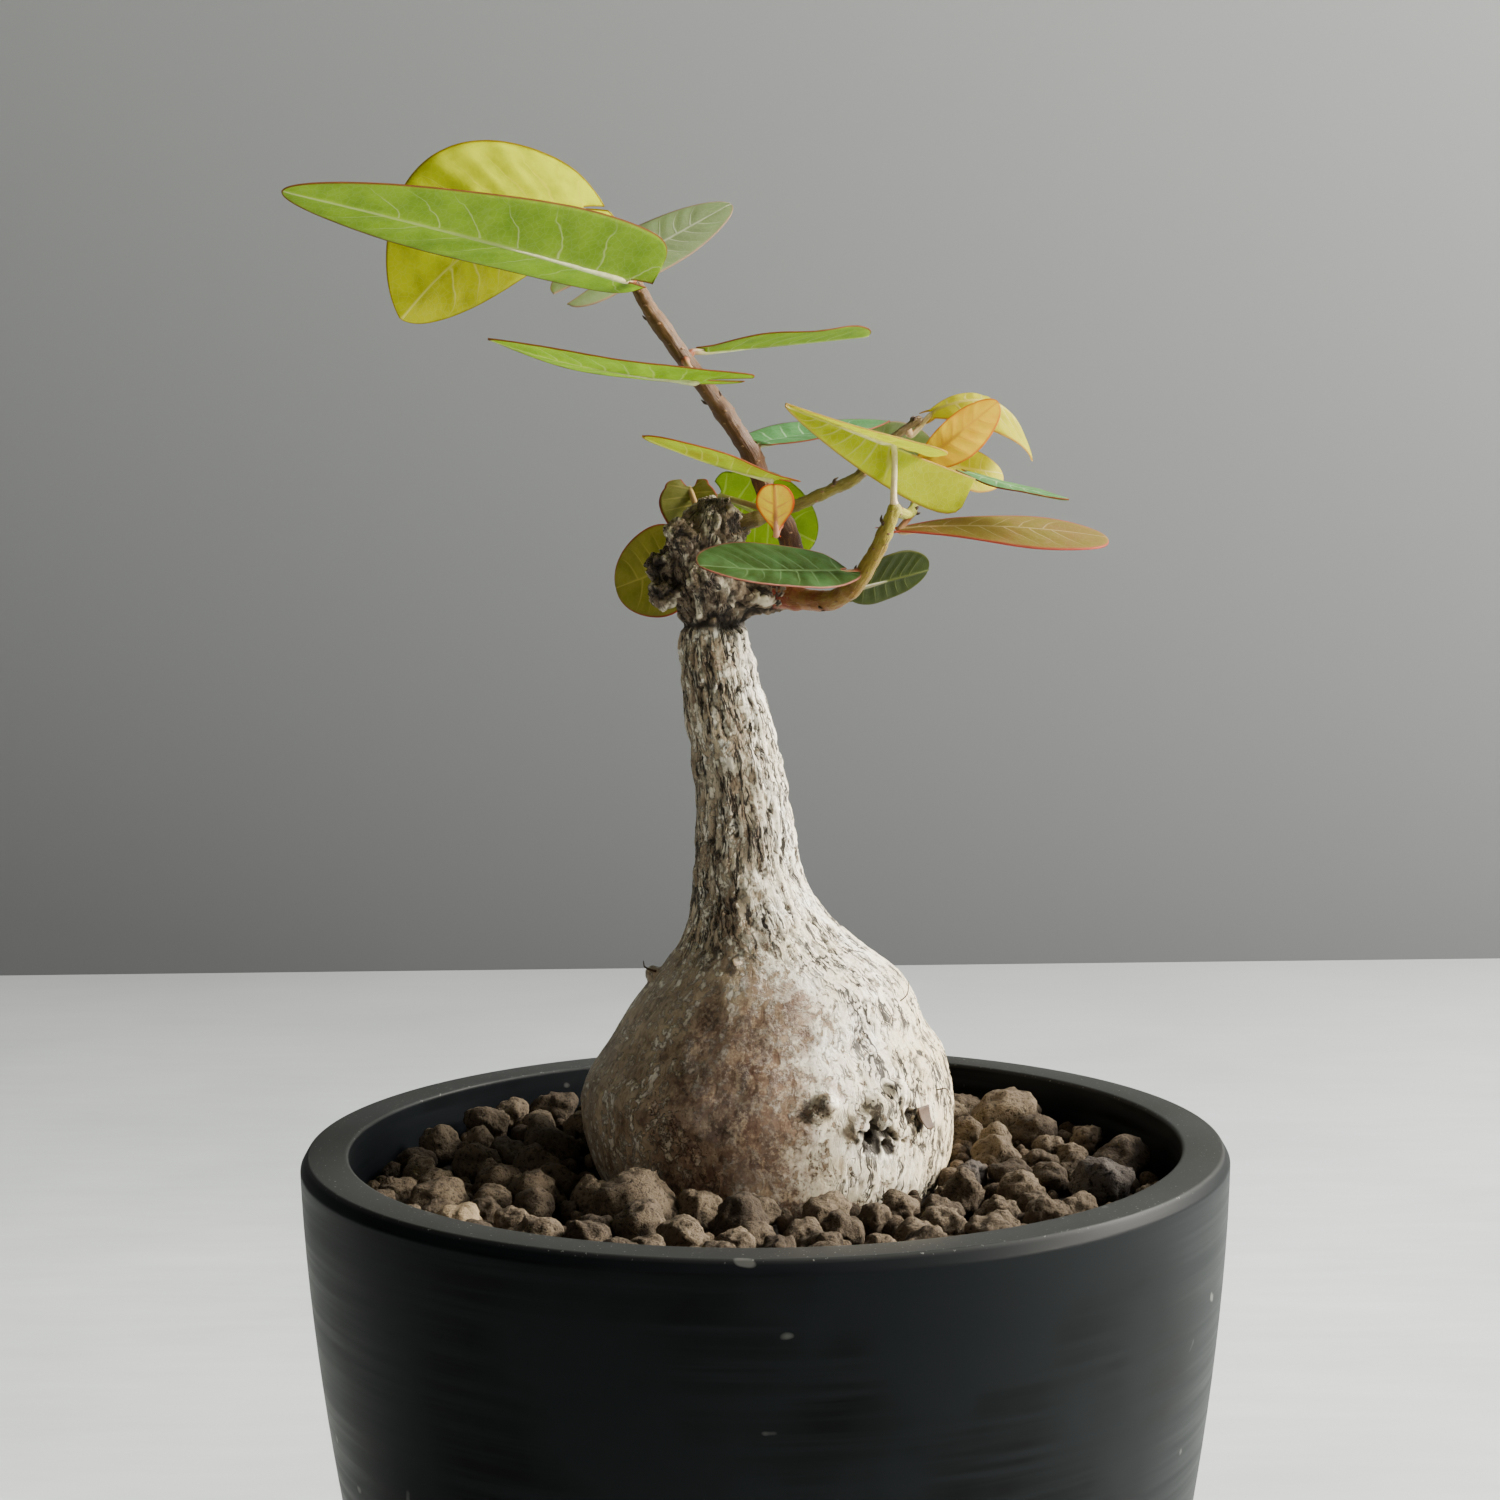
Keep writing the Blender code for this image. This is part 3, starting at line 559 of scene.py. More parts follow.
# %% Tree helpers
def grow_tree(name, sockets):
    """A Geometry Nodes tree with inputs of a name, type and default, and those inputs' sockets."""
    tree = bpy.data.node_groups.new(name, "GeometryNodeTree")
    for label, kind, value in (("Geometry", "Geometry", None), *sockets):
        made = tree.interface.new_socket(label, in_out="INPUT", socket_type="NodeSocket" + kind)
        if value is not None:
            made.default_value = value
    tree.interface.new_socket("Geometry", in_out="OUTPUT", socket_type="NodeSocketGeometry")
    return tree, add(tree, "NodeGroupInput").outputs


def run_tree(host, tree, values):
    """Runs a tree on an object with its inputs set by identifier, and keeps the plain mesh."""
    change = host.modifiers.new(tree.name, "NODES")
    change.node_group = tree
    for item in tree.interface.items_tree:
        if item.in_out == "INPUT" and item.name in values:
            change[item.identifier] = values[item.name]
    return bake_down(host)


# %% Stone tree
stone_tree, given = grow_tree("stones", (
    ("Forms", "Collection", None), ("Lump height", "Float", 0.0004), ("Lump scale", "Float", 500.0),
    ("Pit height", "Float", 0.00015), ("Pit scale", "Float", 1500.0), ("Seed", "Int", 0),
    ("Finish", "Material", None),
))
size_of, turn_of = [
    add(stone_tree, "InputNamedAttribute", {"Name": label}, data_type="FLOAT_VECTOR")
    for label in ("size", "turn")
]
chosen = add(stone_tree, "RandomValue", {
    "Min": 0, "Max": FORM_COUNT - 1, "Seed": given["Seed"],
}, data_type="INT")
forms = add(stone_tree, "CollectionInfo", {
    "Collection": given["Forms"], "Separate Children": True, "Reset Children": True,
})
stones = add(stone_tree, "InstanceOnPoints", {
    "Points": given["Geometry"], "Instance": forms, "Pick Instance": True, "Instance Index": chosen,
    "Rotation": add(stone_tree, "EulerToRotation", [turn_of]), "Scale": size_of,
})
tone = add(stone_tree, "RandomValue", {"Min": 0.0, "Max": 1.0, "Seed": given["Seed"]}, data_type="FLOAT")
stones = add(stone_tree, "StoreNamedAttribute", {
    "Geometry": stones, "Name": "tone", "Value": tone,
}, data_type="FLOAT", domain="INSTANCE")
stones = add(stone_tree, "RealizeInstances", [stones])
spot = add(stone_tree, "InputPosition")
heights = []
for label, middle, roughness in (("Lump", 0.5, 0.5), ("Pit", 0.55, 0.7)):
    bumps = add(stone_tree, "TexNoise", [spot, given[label + " scale"], 2.0, roughness])
    bumps = add(stone_tree, "Math", [bumps, middle], operation="SUBTRACT")
    heights.append(add(stone_tree, "Math", [bumps, given[label + " height"]], operation="MULTIPLY"))
high = add(stone_tree, "Math", heights, operation="ADD")
push = add(stone_tree, "VectorMath", [add(stone_tree, "InputNormal"), high], operation="SCALE")
stones = add(stone_tree, "SetPosition", {"Geometry": stones, "Offset": push})
stones = add(stone_tree, "SetShadeSmooth", {"Geometry": stones, "Shade Smooth": True})
stones = add(stone_tree, "SetMaterial", {"Geometry": stones, "Material": given["Finish"]})
add(stone_tree, "NodeGroupOutput", [stones])


# %% [markdown]
# The grit is baked clay and pumice, dry and matt: a warm grey-brown with pores painted darker as
# shade, and a different tone on each grain, which the tree stores for the shader. The black lumps are lava
# with bigger pores, and one grain is a smooth tan pebble.

# %% Stone finishes
PATCH_MM = 2.38


def porous_finish(name, dark, light, pore_shade, pore_mm, pore_shade_share):
    """Matt porous stone: a tone for each grain between two colours, with pores of a given size painted
    dark as shade.
    """
    finish, tree = new_finish(name)
    at = add(tree, "TexCoord").outputs["Object"]
    tone = add(tree, "Attribute", attribute_name="tone").outputs["Fac"]
    patchy = add(tree, "TexNoise", [at, per(PATCH_MM), 6.0, 0.65])
    patchy = add(tree, "MapRange", [patchy, 0.3, 0.7, -0.3, 0.3])
    tone = add(tree, "Math", [tone, patchy], operation="ADD", use_clamp=True)
    grains = add(tree, "TexNoise", [at, per(pore_mm), 4.0, 0.75])
    # Painted shade in the pores
    pore_shade_mask = add(tree, "MapRange", [grains, 0.36, 0.5, pore_shade_share, 0.0])
    colour = add(tree, "Mix", [pore_shade_mask, add(tree, "Mix", [tone, dark, light]), pore_shade])
    relief = add(tree, "Bump", {"Height": grains, "Distance": 0.0005, "Strength": 0.9})
    add(tree, "OutputMaterial", [add(tree, "BsdfPrincipled", {
        "Base Color": colour, "Roughness": 0.95, "Specular IOR Level": 0.2, "Normal": relief,
    })])
    return finish


# Warm, dusty and pitted, so each grain shows as a crumb of baked earth
baked_grit = porous_finish("dry_baked_clay_grit", "#3e352b", "#6d604f", "#1a140e", 0.55, 0.85)
# Smoother and lighter, the one grain that catches the eye
tan_pebble = porous_finish("tan_pumice", "#76674f", "#8c7b62", "#4c3f2f", 0.6, 0.5)
# Nearly black with coarse pores, which read as burnt stone
black_lava = porous_finish("black_lava", "#2b2725", "#4b4540", "#0d0b0a", 0.9, 0.95)
# The same clay, painted darker as the shade between the grains
grit_in_painted_shade = porous_finish("dusty_small_grit", "#3e3429", "#665848", "#19130d", 0.5, 0.8)
# Almost black, painted as the deep shade in the bed, which makes the bed look deep
core_painted_shade = porous_finish("shaded_fine_grit", "#1a1510", "#2a221b", "#0b0806", 0.9, 0.8)

# %% Bed core
CORE_GAP = 0.5
CORE_TOP = 76.0

core_profile = [Vector((pot_inside(BASE_THICKNESS + 0.3) - CORE_GAP, BASE_THICKNESS + 0.3))]
core_profile += [Vector((pot_inside(z) - CORE_GAP, z)) for z in (22.0, 38.0, 54.0, 70.0, 75.6)]
core_profile += [Vector((pot_inside(CORE_TOP) - 1.5, CORE_TOP))]
core = lathe("gravel_core", core_profile, 96, core_painted_shade)
core.data.set_sharp_from_angle(angle=math.radians(30))
seat(core, "grit", "gravel")


# %% Large grains
# Heights are in metres, and scales in grains of noise for each metre: a stone's lumps are 2.4 mm
# across, and its pits 0.8 mm, or 1.1 mm on the lava
LUMPS = {"Lump height": 0.0024, "Lump scale": 420.0}
PITS = {"Pit height": 0.0007, "Pit scale": 1300.0}
LAVA_PITS = {"Pit height": 0.0012, "Pit scale": 900.0}


def grain_cloud(name, grains, seed):
    """One point for each grain, with the stone's three half widths and its turn."""
    draw = random.Random(seed)
    points, sizes, turns = [], [], []
    for x, y, size in grains:
        points.append((x, y, soil_height(x, y) + GRAIN_RISE * size))
        sizes.append((size * 1.04, size * draw.uniform(0.78, 1.0), size * draw.uniform(0.7, 0.9)))
        turns.append((draw.uniform(-0.4, 0.4), draw.uniform(-0.4, 0.4), draw.uniform(0, 6.28)))
    return mesh_piece(name, points, [], attributes={"size": sizes, "turn": turns}, shade=False)


fine_forms = stone_forms("fine_stone_forms", 4)
grains = grain_places()
usual = [grain for k, grain in enumerate(grains) if k not in TAN_STONES + LAVA_STONES]
print(len(grains), "large grains")
for label, group, seed, finish, pits in (
    ("grit_front", [grain for grain in usual if grain[1] < 4], 11, baked_grit, PITS),
    ("grit_back", [grain for grain in usual if grain[1] >= 4], 12, baked_grit, PITS),
    ("tan_grain", [grains[k] for k in TAN_STONES], 13, tan_pebble, PITS),
    ("lava_grains", [grains[k] for k in LAVA_STONES], 14, black_lava, LAVA_PITS),
):
    cloud = grain_cloud(label, group, seed)
    run_tree(cloud, stone_tree, {"Forms": fine_forms, "Seed": seed, "Finish": finish, **LUMPS, **pits})
    seat(cloud, "grit", "gravel")

# %% [markdown]
# Small grit lies between the large grains. It is scattered by a second tree on a plain ring of
# the bed's top, at an even spacing, so no two bits sit on one spot. That tree holds the stone
# tree, which gives each bit its form.

# %% Small grit
scatter_tree, given = grow_tree("scatter", (
    ("Spacing", "Float", 0.0027), ("Smallest", "Float", 0.8), ("Largest", "Float", 1.7),
    ("Seed", "Int", 3), ("Forms", "Collection", None), ("Finish", "Material", None),
))
dots = add(scatter_tree, "DistributePointsOnFaces", {
    "Mesh": given["Geometry"], "Distance Min": given["Spacing"], "Density Max": 400000.0,
    "Seed": given["Seed"],
}, distribute_method="POISSON").outputs["Points"]
wide = add(scatter_tree, "RandomValue", {
    "Min": given["Smallest"], "Max": given["Largest"], "Seed": 5,
}, data_type="FLOAT")
flat = add(scatter_tree, "RandomValue", {"Min": 0.65, "Max": 1.0, "Seed": 6}, data_type="FLOAT")
thick = add(scatter_tree, "Math", [wide, flat], operation="MULTIPLY")
shape = add(scatter_tree, "CombineXYZ", [wide, thick, thick])
spin = add(scatter_tree, "RandomValue", {
    "Min": (0.0, 0.0, 0.0), "Max": (6.28, 6.28, 6.28), "Seed": 8,
}, data_type="FLOAT_VECTOR")
for label, value in (("size", shape), ("turn", spin)):
    dots = add(scatter_tree, "StoreNamedAttribute", {
        "Geometry": dots, "Name": label, "Value": value,
    }, data_type="FLOAT_VECTOR")
bits = add(scatter_tree, "Group", {
    "Geometry": add(scatter_tree, "PointsToVertices", {"Points": dots}), "Forms": given["Forms"],
    "Finish": given["Finish"], "Lump height": 0.0008, "Lump scale": 600.0, "Pit height": 0.0,
    "Seed": given["Seed"],
}, node_tree=stone_tree)
bits = add(scatter_tree, "RealizeInstances", [bits])
bits = add(scatter_tree, "SetMaterial", {"Geometry": bits, "Material": given["Finish"]})
add(scatter_tree, "NodeGroupOutput", [bits])

ring_count, ring_rows = 96, 8
inner, outer = CAUDEX_AT_SOIL[1] + 0.6, pot_inside(SOIL_LEVEL) - 1.6
verts = []
for row in range(ring_rows):
    share = row / (ring_rows - 1)
    for c, s in circle(ring_count):
        x = (1 - share) * (CAUDEX_AT_SOIL[0] + inner * c) + share * outer * c
        y = (1 - share) * (CAUDEX_DEPTH + inner * s) + share * outer * s
        verts.append((x, y, soil_height(x, y) - 0.2))
faces = [(a, d, c, b) for a, b, c, d in ring_faces(ring_rows, ring_count)]
small = mesh_piece("small_grit", verts, faces, shade=False)
coarse_forms = stone_forms("coarse_stone_forms", 2)
run_tree(small, scatter_tree, {"Spacing": 0.0027, "Seed": 3, "Forms": coarse_forms, "Finish": grit_in_painted_shade})
seat(small, "grit", "gravel")
clear_away(fine_forms)
clear_away(coarse_forms)

# %% [markdown]
# ## Caudex
#
# The caudex is one grown body: a bulb, a trunk and the gnarled head where an old stem was cut. It
# is lofted through the same rings as the CAD, its knobs are laid over it, and a voxel remesh melts
# them into one even skin. Then every point of the skin is moved in or out by bark made of noise:
# long fissures that run up the trunk, papery plates, small warts, and deep gnarls on the head.

# %% Caudex sizes
CAUDEX_SIDES = 96
# Height, middle and radius of each ring
CAUDEX_PROFILE = (
    (62.0, 1.4, 5.0), (66.0, 1.2, 12.0), (72.0, 1.0, 17.5), (78.0, 0.8, 20.8), (84.0, 0.4, 22.0),
    (88.5, 0.4, 21.6), (92.0, 1.0, 20.0), (95.0, 1.0, 18.0), (98.0, 1.4, 16.4), (101.0, 1.6, 14.2),
    (104.5, 0.6, 10.4), (107.5, -0.4, 8.3), (113.0, -1.6, 6.4), (120.0, -2.1, 5.6), (127.0, -3.1, 5.2),
    (134.0, -4.4, 4.7), (140.0, -5.4, 4.2), (142.5, -5.4, 4.1), (145.5, -5.6, 4.7), (149.0, -6.4, 5.2),
    (152.5, -6.0, 4.6), (155.0, -5.4, 3.4), (156.6, -4.8, 1.4),
)
KNOBS = (
    (-11.0, 9.6, 145.8, 1.9), (-11.4, 10.6, 149.0, 1.8), (-9.0, 8.8, 152.4, 2.1),
    (-6.4, 7.6, 147.4, 1.9), (-5.4, 16.6, 149.4, 2.5), (-2.6, 14.0, 153.0, 1.9),
    (12.6, -4.4, 87.8, 2.4), (14.6, -2.8, 89.4, 1.9), (10.4, -6.0, 86.6, 1.7), (7.0, -7.6, 89.4, 1.4),
    (-12.9, 12.0, 101.0, 1.0), (5.6, -7.9, 88.4, 1.0), (-12.9, -4.0, 88.2, 0.6), (-3.2, 2.6, 103.4, 0.8),
)
BRANCH = ((-3.4, 12.2, 144.8, 2.4), (0.6, 12.0, 145.2, 2.1), (3.4, 11.8, 145.6, 1.8))
# Holes and scars, painted dark as shade: centre, radius, depth
HOLES = (
    (11.6, -6.0, 85.9, 1.1, 1.2), (13.7, -4.7, 85.8, 1.3, 1.4), (12.5, -5.4, 84.4, 1.2, 0.8),
    (14.2, -4.6, 83.6, 0.9, 0.7), (16.6, -1.8, 87.0, 0.8, 0.8), (-9.3, 9.0, 152.4, 1.1, 0.8),
    (-11.9, 8.6, 149.0, 1.0, 0.9), (-11.8, 7.9, 145.8, 0.8, 0.6),
)
VOXEL = 0.3
BULB_TOP, STUMP_START = 86.0, 141.0

# A smooth pale callus on the head, and the ledge at its foot: height, half height and depth
CALLUS = ((-7.4, 8.6, 148.9), (-5.8, 7.9, 147.4), (-3.4, 7.9, 146.2))
CALLUS_RADIUS = 0.9
LEDGE_HEIGHT, LEDGE_HALF, LEDGE_DEPTH = 141.9, 0.7, 0.7

axis_heights, axis_x, axis_radius = zip(*CAUDEX_PROFILE)


# %% Caudex helpers
def rise(value, low, high):
    """A smooth step from 0 at low to 1 at high."""
    share = min(max((value - low) / (high - low), 0.0), 1.0)
    return share * share * (3 - 2 * share)


def curve_through(points, steps):
    """Points of a smooth Catmull-Rom curve through points of any length, ends included."""
    rows = [Vector(p) for p in points]
    rows = [2 * rows[0] - rows[1], *rows, 2 * rows[-1] - rows[-2]]
    path = []
    for k in range(1, len(rows) - 2):
        a, b, c, d = rows[k - 1 : k + 3]
        for step in range(steps):
            t = step / steps
            path.append(
                0.5 * (2 * b + (c - a) * t + (2 * a - 5 * b + 4 * c - d) * t**2
                       + (3 * b - a - 3 * c + d) * t**3)
            )
    path.append(rows[-2])
    return path


def together(bodies):
    """The points and faces of several bodies as one list each."""
    verts, faces = [], []
    for more, more_faces in bodies:
        faces += [[len(verts) + k for k in face] for face in more_faces]
        verts += more
    return verts, faces


# %% Caudex body
caudex_path = curve_through([(x, CAUDEX_DEPTH, z, radius) for z, x, radius in CAUDEX_PROFILE], 6)
verts = []
for x, y, z, radius in caudex_path:
    swell = 0.0 if z < BULB_TOP else (0.7 if z > STUMP_START else 0.35)
    for c, s in circle(CAUDEX_SIDES):
        way = Vector((c, s, 0))
        point = Vector((x, y, z)) + way * radius
        verts.append(point + way * swell * noise.noise(point * 0.23))
faces = ring_faces(len(caudex_path), CAUDEX_SIDES)
faces.append(list(range(CAUDEX_SIDES))[::-1])
faces.append(list(range(len(verts) - CAUDEX_SIDES, len(verts))))
bodies = [(verts, faces)]
round_points, round_faces = ball(4)
for *place, radius in KNOBS:
    middle = Vector(place)
    bumpy = [1 + 0.22 * noise.noise(point * 1.7 + middle) for point in round_points]
    verts = [middle + point * radius * bump for point, bump in zip(round_points, bumpy)]
    bodies.append((verts, round_faces))
bodies.append(tube(curve_through(BRANCH, 6), 40)[:2])
caudex = mesh_piece("caudex_body", *together(bodies))
melt = caudex.modifiers.new("melt", "REMESH")
melt.mode = "VOXEL"
melt.voxel_size = VOXEL * MM
ease = caudex.modifiers.new("ease", "SMOOTH")
ease.factor = 0.5
ease.iterations = 3
bake_down(caudex)
print("caudex skin has", len(caudex.data.vertices), "points")


# %% [markdown]
# The bark is read in its own coordinates, which run with the grain: round the stem at a spacing
# that narrows a little with it, and slowly upwards. They are kept on the mesh, so the shader
# lays its finer grain along the same lines. The skin's own relief is kept as well, because shade
# is painted dark where it is deep.

# %% Bark relief
# How far each feature stands out or is sunk, in millimetres. A furrow is deeper on the trunk.
LUMP_HEIGHT, PLATE_HEIGHT, WART_HEIGHT, CRACK_DEPTH = 0.22, 0.2, 0.05, 0.2
FURROW_DEPTH, FURROW_MORE = 0.3, 0.34
CRAG_HEIGHT, FOLD_DEPTH, WRINKLE_DEPTH, CALLUS_HEIGHT = 0.5, 0.5, 0.16, 0.4
# Heights in millimetres between which the bulb turns into the trunk
TRUNK_FROM, TRUNK_TO = 100, 110
# Degrees from the front, towards the window, between which brown bark turns to cream, as painted light on
# the window side
LIT_CREAM_FROM, LIT_CREAM_TO = -14, 36


def bark_at(point):
    """Angle from the front, and the bark's own coordinates, of a point in millimetres."""
    x_axis = float(np.interp(point.z, axis_heights, axis_x))
    size = float(np.interp(point.z, axis_heights, axis_radius))
    dx, dy = point.x - x_axis, point.y - CAUDEX_DEPTH
    reach = math.hypot(dx, dy) or 1.0
    scale = (6.0 + 0.55 * size) / reach
    return math.degrees(math.atan2(dx, -dy)), Vector((dx * scale, dy * scale, point.z))


def ridge(spot, frequency, squeeze):
    """Noise folded to thin valleys at 0, along the grain, from 0 in a valley to about 1."""
    stretched = Vector((spot.x * frequency, spot.y * frequency, spot.z * frequency * squeeze))
    return abs(noise.noise(stretched)) * 2


def near_line(point, corners):
    """Distance from a point to a chain of straight runs."""
    best = 1e9
    for a, b in zip(corners, corners[1:]):
        run = b - a
        share = min(max((point - a).dot(run) / run.length_squared, 0.0), 1.0)
        best = min(best, (point - a - run * share).length)
    return best


def sway(point, frequency, *shifts):
    """Noise at a point for each shift, as one list, to bend a pattern by."""
    return [noise.noise(point * frequency + Vector(shift)) for shift in ((0, 0, 0), *shifts)]


skin = caudex.data
points, normals = np.empty((2, len(skin.vertices) * 3))
skin.vertices.foreach_get("co", points)
skin.vertices.foreach_get("normal", normals)
points, normals = points.reshape(-1, 3) / MM, normals.reshape(-1, 3)
moved, grain, zones, relief = [], [], [], []
callus_line = [Vector(corner) for corner in CALLUS]
for place, normal in zip(points, normals):
    point = Vector(place)
    angle, spot = bark_at(point)
    z = point.z
    stump = rise(z, STUMP_START - 0.6, STUMP_START + 2.0)
    trunk = rise(z, TRUNK_FROM, TRUNK_TO)
    wander = 13 * noise.noise(point * 0.12) + 7 * noise.noise(point * 0.45)
    turned = angle + wander
    # Cream paper covers the window side and brown skin the shaded side, partly real bark and partly
    # painted light and shade, and purple skin is left low on the front
    cream = rise(turned - 24 * rise(z, 110, 124), LIT_CREAM_FROM, LIT_CREAM_TO)
    cream = 0.24 + 0.76 * cream * (1 - 0.5 * rise(turned, 110, 165))
    if turned < -60:
        cream = 0.2 + 0.35 * rise(-turned, 100, 170)
    cream += 0.12 * trunk
    purple = (1 - rise(abs(turned + 15), 14, 40)) * (1 - rise(z + 0.3 * wander, 96, 109))

    # Furrows, plates and fine cracks run with the grain and fade on the bulb's tight skin
    drift = Vector((*sway(point, 0.3, (5, 1, 7)), 0)) * 1.3
    long_ridge = ridge(spot + drift, 0.6, 0.17)
    fine_ridge = ridge(spot + drift + Vector((31, 7, 3)), 1.2, 0.2)
    furrow = max(1 - long_ridge / 0.2, 0.0)
    fine = max(1 - fine_ridge / 0.2, 0.0)
    gate = rise(noise.noise(point * 0.28 + Vector((9, 2, 5))), -0.15, 0.3)
    rough_skin = trunk + (1 - trunk) * (0.1 + 0.65 * rise(turned, 12, 40))
    plates = noise.noise(Vector((spot.x * 0.9, spot.y * 0.9, spot.z * 0.22)))
    height = LUMP_HEIGHT * noise.noise(point * 0.55) * (0.35 + 0.65 * trunk)
    depth = FURROW_DEPTH + FURROW_MORE * trunk
    cracks = depth * furrow * (0.3 + 0.7 * gate)
    height += rough_skin * (PLATE_HEIGHT * plates - cracks - CRACK_DEPTH * fine)
    height += WART_HEIGHT * noise.noise(point * 2.6)
    # Painted shade: furrows and fine cracks are marked dark
    dark = rough_skin * (1.1 * furrow * (0.25 + 0.75 * gate) + 0.6 * fine)
    crest = rise(long_ridge, 0.35, 0.8) * rough_skin
    if stump > 0:
        # The head's folds are turned by a swirl, and its callus stays smooth
        swirl = Vector(sway(point, 0.4, (3, 8, 1), (6, 2, 9)))
        drawn = Vector((point.x, point.y, point.z * 0.6))
        folds = abs(noise.noise(drawn * 0.34 + swirl * 0.6)) * 2
        wrinkles = abs(noise.noise(drawn * 0.95 + swirl * 0.9)) * 2
        deep_fold = max(1 - folds / 0.24, 0.0)
        wrinkle = max(1 - wrinkles / 0.3, 0.0)
        callus = 1 - rise(near_line(point, callus_line), 0.5 * CALLUS_RADIUS, 1.4 * CALLUS_RADIUS)
        bare = stump * (1 - callus)
        craggy = noise.fractal(drawn * 0.5 + swirl, 0.75, 2.1, 5)
        crags = CRAG_HEIGHT * craggy - FOLD_DEPTH * deep_fold - WRINKLE_DEPTH * wrinkle
        height += bare * crags + CALLUS_HEIGHT * callus * stump
        shade = 0.75 * deep_fold + 0.3 * wrinkle + 0.8 * rise(-craggy, 0.1, 0.7)
        dark = dark * (1 - stump) + bare * shade
        crest = crest * (1 - stump) + bare * rise(craggy, -0.05, 0.55) + callus * stump
    groove = max(1 - abs(z - LEDGE_HEIGHT + 0.5 * noise.noise(point * 0.3)) / LEDGE_HALF, 0.0)
    height -= LEDGE_DEPTH * groove * rise(noise.noise(point * 0.2 + Vector((2, 2, 2))), -0.4, 0.1)
    # Painted shade in the ledge's groove
    dark += 0.9 * groove
    # Holes are sunk and painted dark as shade
    for x, y, level, radius, deep in HOLES:
        gap = (point - Vector((x, y, level))).length * (1 + 0.9 * noise.noise(point * 1.1))
        if gap < 2 * radius:
            share = 1 - rise(gap, 0.35 * radius, 1.5 * radius)
            height -= deep * share
            dark += 1.6 * share
            crest *= 1 - share
    moved.append(place + np.array(Vector(normal) * height))
    grain.append(spot)
    zones.append((cream, purple, stump))
    relief.append((min(max(dark, 0.0), 1.0), min(crest, 1.0), rough_skin))
skin.vertices.foreach_set("co", (np.array(moved) * MM).ravel())
for label, values in (("grain", grain), ("zones", zones), ("relief", relief)):
    store = skin.attributes.new(label, "FLOAT_VECTOR", "POINT")
    store.data.foreach_set("vector", np.array(values, dtype=np.float32).ravel())
skin.shade_smooth()
skin.update()

# %% [markdown]
# Young bark of this plant is thin and papery, and it peels and dries in patches. Under it all is
# a brown skin. Cream paper covers it in flecks that are few on the shaded side and run together
# on the window side, where short dark fissures split them; laying the paper out by the light is
# partly real bark and partly painted light and shade. Low on the front the skin is still tight,
# purple-brown and freckled. On the trunk the ridges are pale and the furrows painted dark as
# shade, and the head's creases are painted almost black as shade.
#
# The finish is built from three tables. The first names each noise, with its size in millimetres
# and how far it is drawn out along the grain. The second turns noises and zones into masks, each
# clamped between two values. The third paints each tone as a base and layers over it.

# %% Bark finish
WAVER_MM = 2.2
WAVER_BY_MM = 1.5
# Painted light: the paper turns to straw at the far window side, from here to here in metres
WINDOW_TINT_FROM, WINDOW_TINT_TO = 0.0125, 0.0215
BARK_NOISES = {
    # name: (with the grain, size in mm, squeeze along it, detail, roughness)
    "fibres": (True, 0.42, 0.16, 5.0, 0.6),
    "scales": (True, 1.1, 0.3, 7.0, 0.68),
    "fissures": (True, 0.9, 0.14, 3.0, 0.55),
    "breaks": (True, 1.7, 0.3, 3.0, 0.6),
    "flecks": (False, 0.9, 1.0, 5.0, 0.7),
    "freckles": (False, 0.5, 1.0, 3.0, 0.6),
    "blotches": (False, 4.5, 1.0, 4.0, 0.6),
    "paper": (False, 1.6, 1.0, 6.0, 0.75),
    "ragged": (False, 2.4, 1.0, 7.0, 0.75),
}
BARK_MASKS = {
    # name: (source, from, to, new from, new to)
    "blotchy": ("blotches", 0.35, 0.65, 0.0, 1.0),
    "pale_fibre": ("fibres", 0.46, 0.66, 0.0, 0.6),
    "dark_scale": ("scales", 0.45, 0.36, 0.0, 0.55),
    "dark_fibre": ("fibres", 0.48, 0.34, 0.0, 0.6),
    "freckled": ("freckles", 0.52, 0.64, 0.0, 0.55),
    "papered": ("paper", 0.54, 0.62, 0.0, 0.8),
    "purple_scale": ("scales", 0.44, 0.36, 0.0, 0.6),
    "flecked": ("flecks", 0.35, 0.65, 0.0, 1.0),
    "need": ("cream_light_zone", 0.0, 1.0, 1.13, 0.84),
    "edge": ("ragged", 0.3, 0.7, -0.7, 0.7),
    "aged": ("to_window", WINDOW_TINT_FROM, WINDOW_TINT_TO, 0.0, 0.6),
    "ridges": ("crest", 0.35, 0.9, 0.0, 0.4),
    "head_ridges": ("crest", 0.3, 1.0, 0.0, 1.0),
    "head": ("head_zone", 0.2, 0.8, 0.0, 1.0),
    "broken": ("breaks", 0.46, 0.53, 0.0, 1.0),
    "splits": ("rough_skin", 0.1, 0.6, 0.0, 1.0),
    "sunk": ("deep", 0.15, 0.85, 0.0, 1.0),
    "shine": ("rough_skin", 0.1, 0.7, 0.36, 0.75),
}
BARK_TONES = {
    # name: (base, then a mask and the colour it lays over)
    "brown": ("#806a54", ("blotchy", "#c2ae90"), ("pale_fibre", "#d2c3a6"), ("dark_scale", "#51402f")),
    "cream": ("#ddd1b6", ("blotchy", "#fdf8ea"), ("dark_fibre", "#a38d6c"), ("aged", "#d3bc8c")),
    "purple": ("#5f4537", ("blotchy", "#977a65"), ("freckled", "#cdb597"), ("papered", "#c9b193"),
               ("purple_scale", "#4a3025")),
    "head_tone": ("#5a4838", ("flecked", "#93816a"), ("head_ridges", "#d2c6ae")),
    "whole": ("brown", ("cream_here", "cream"), ("purple_here", "purple"), ("ridges", "#e0d2b6"),
              ("head", "head_tone"), ("crease_shade", "#1e150f")),
}

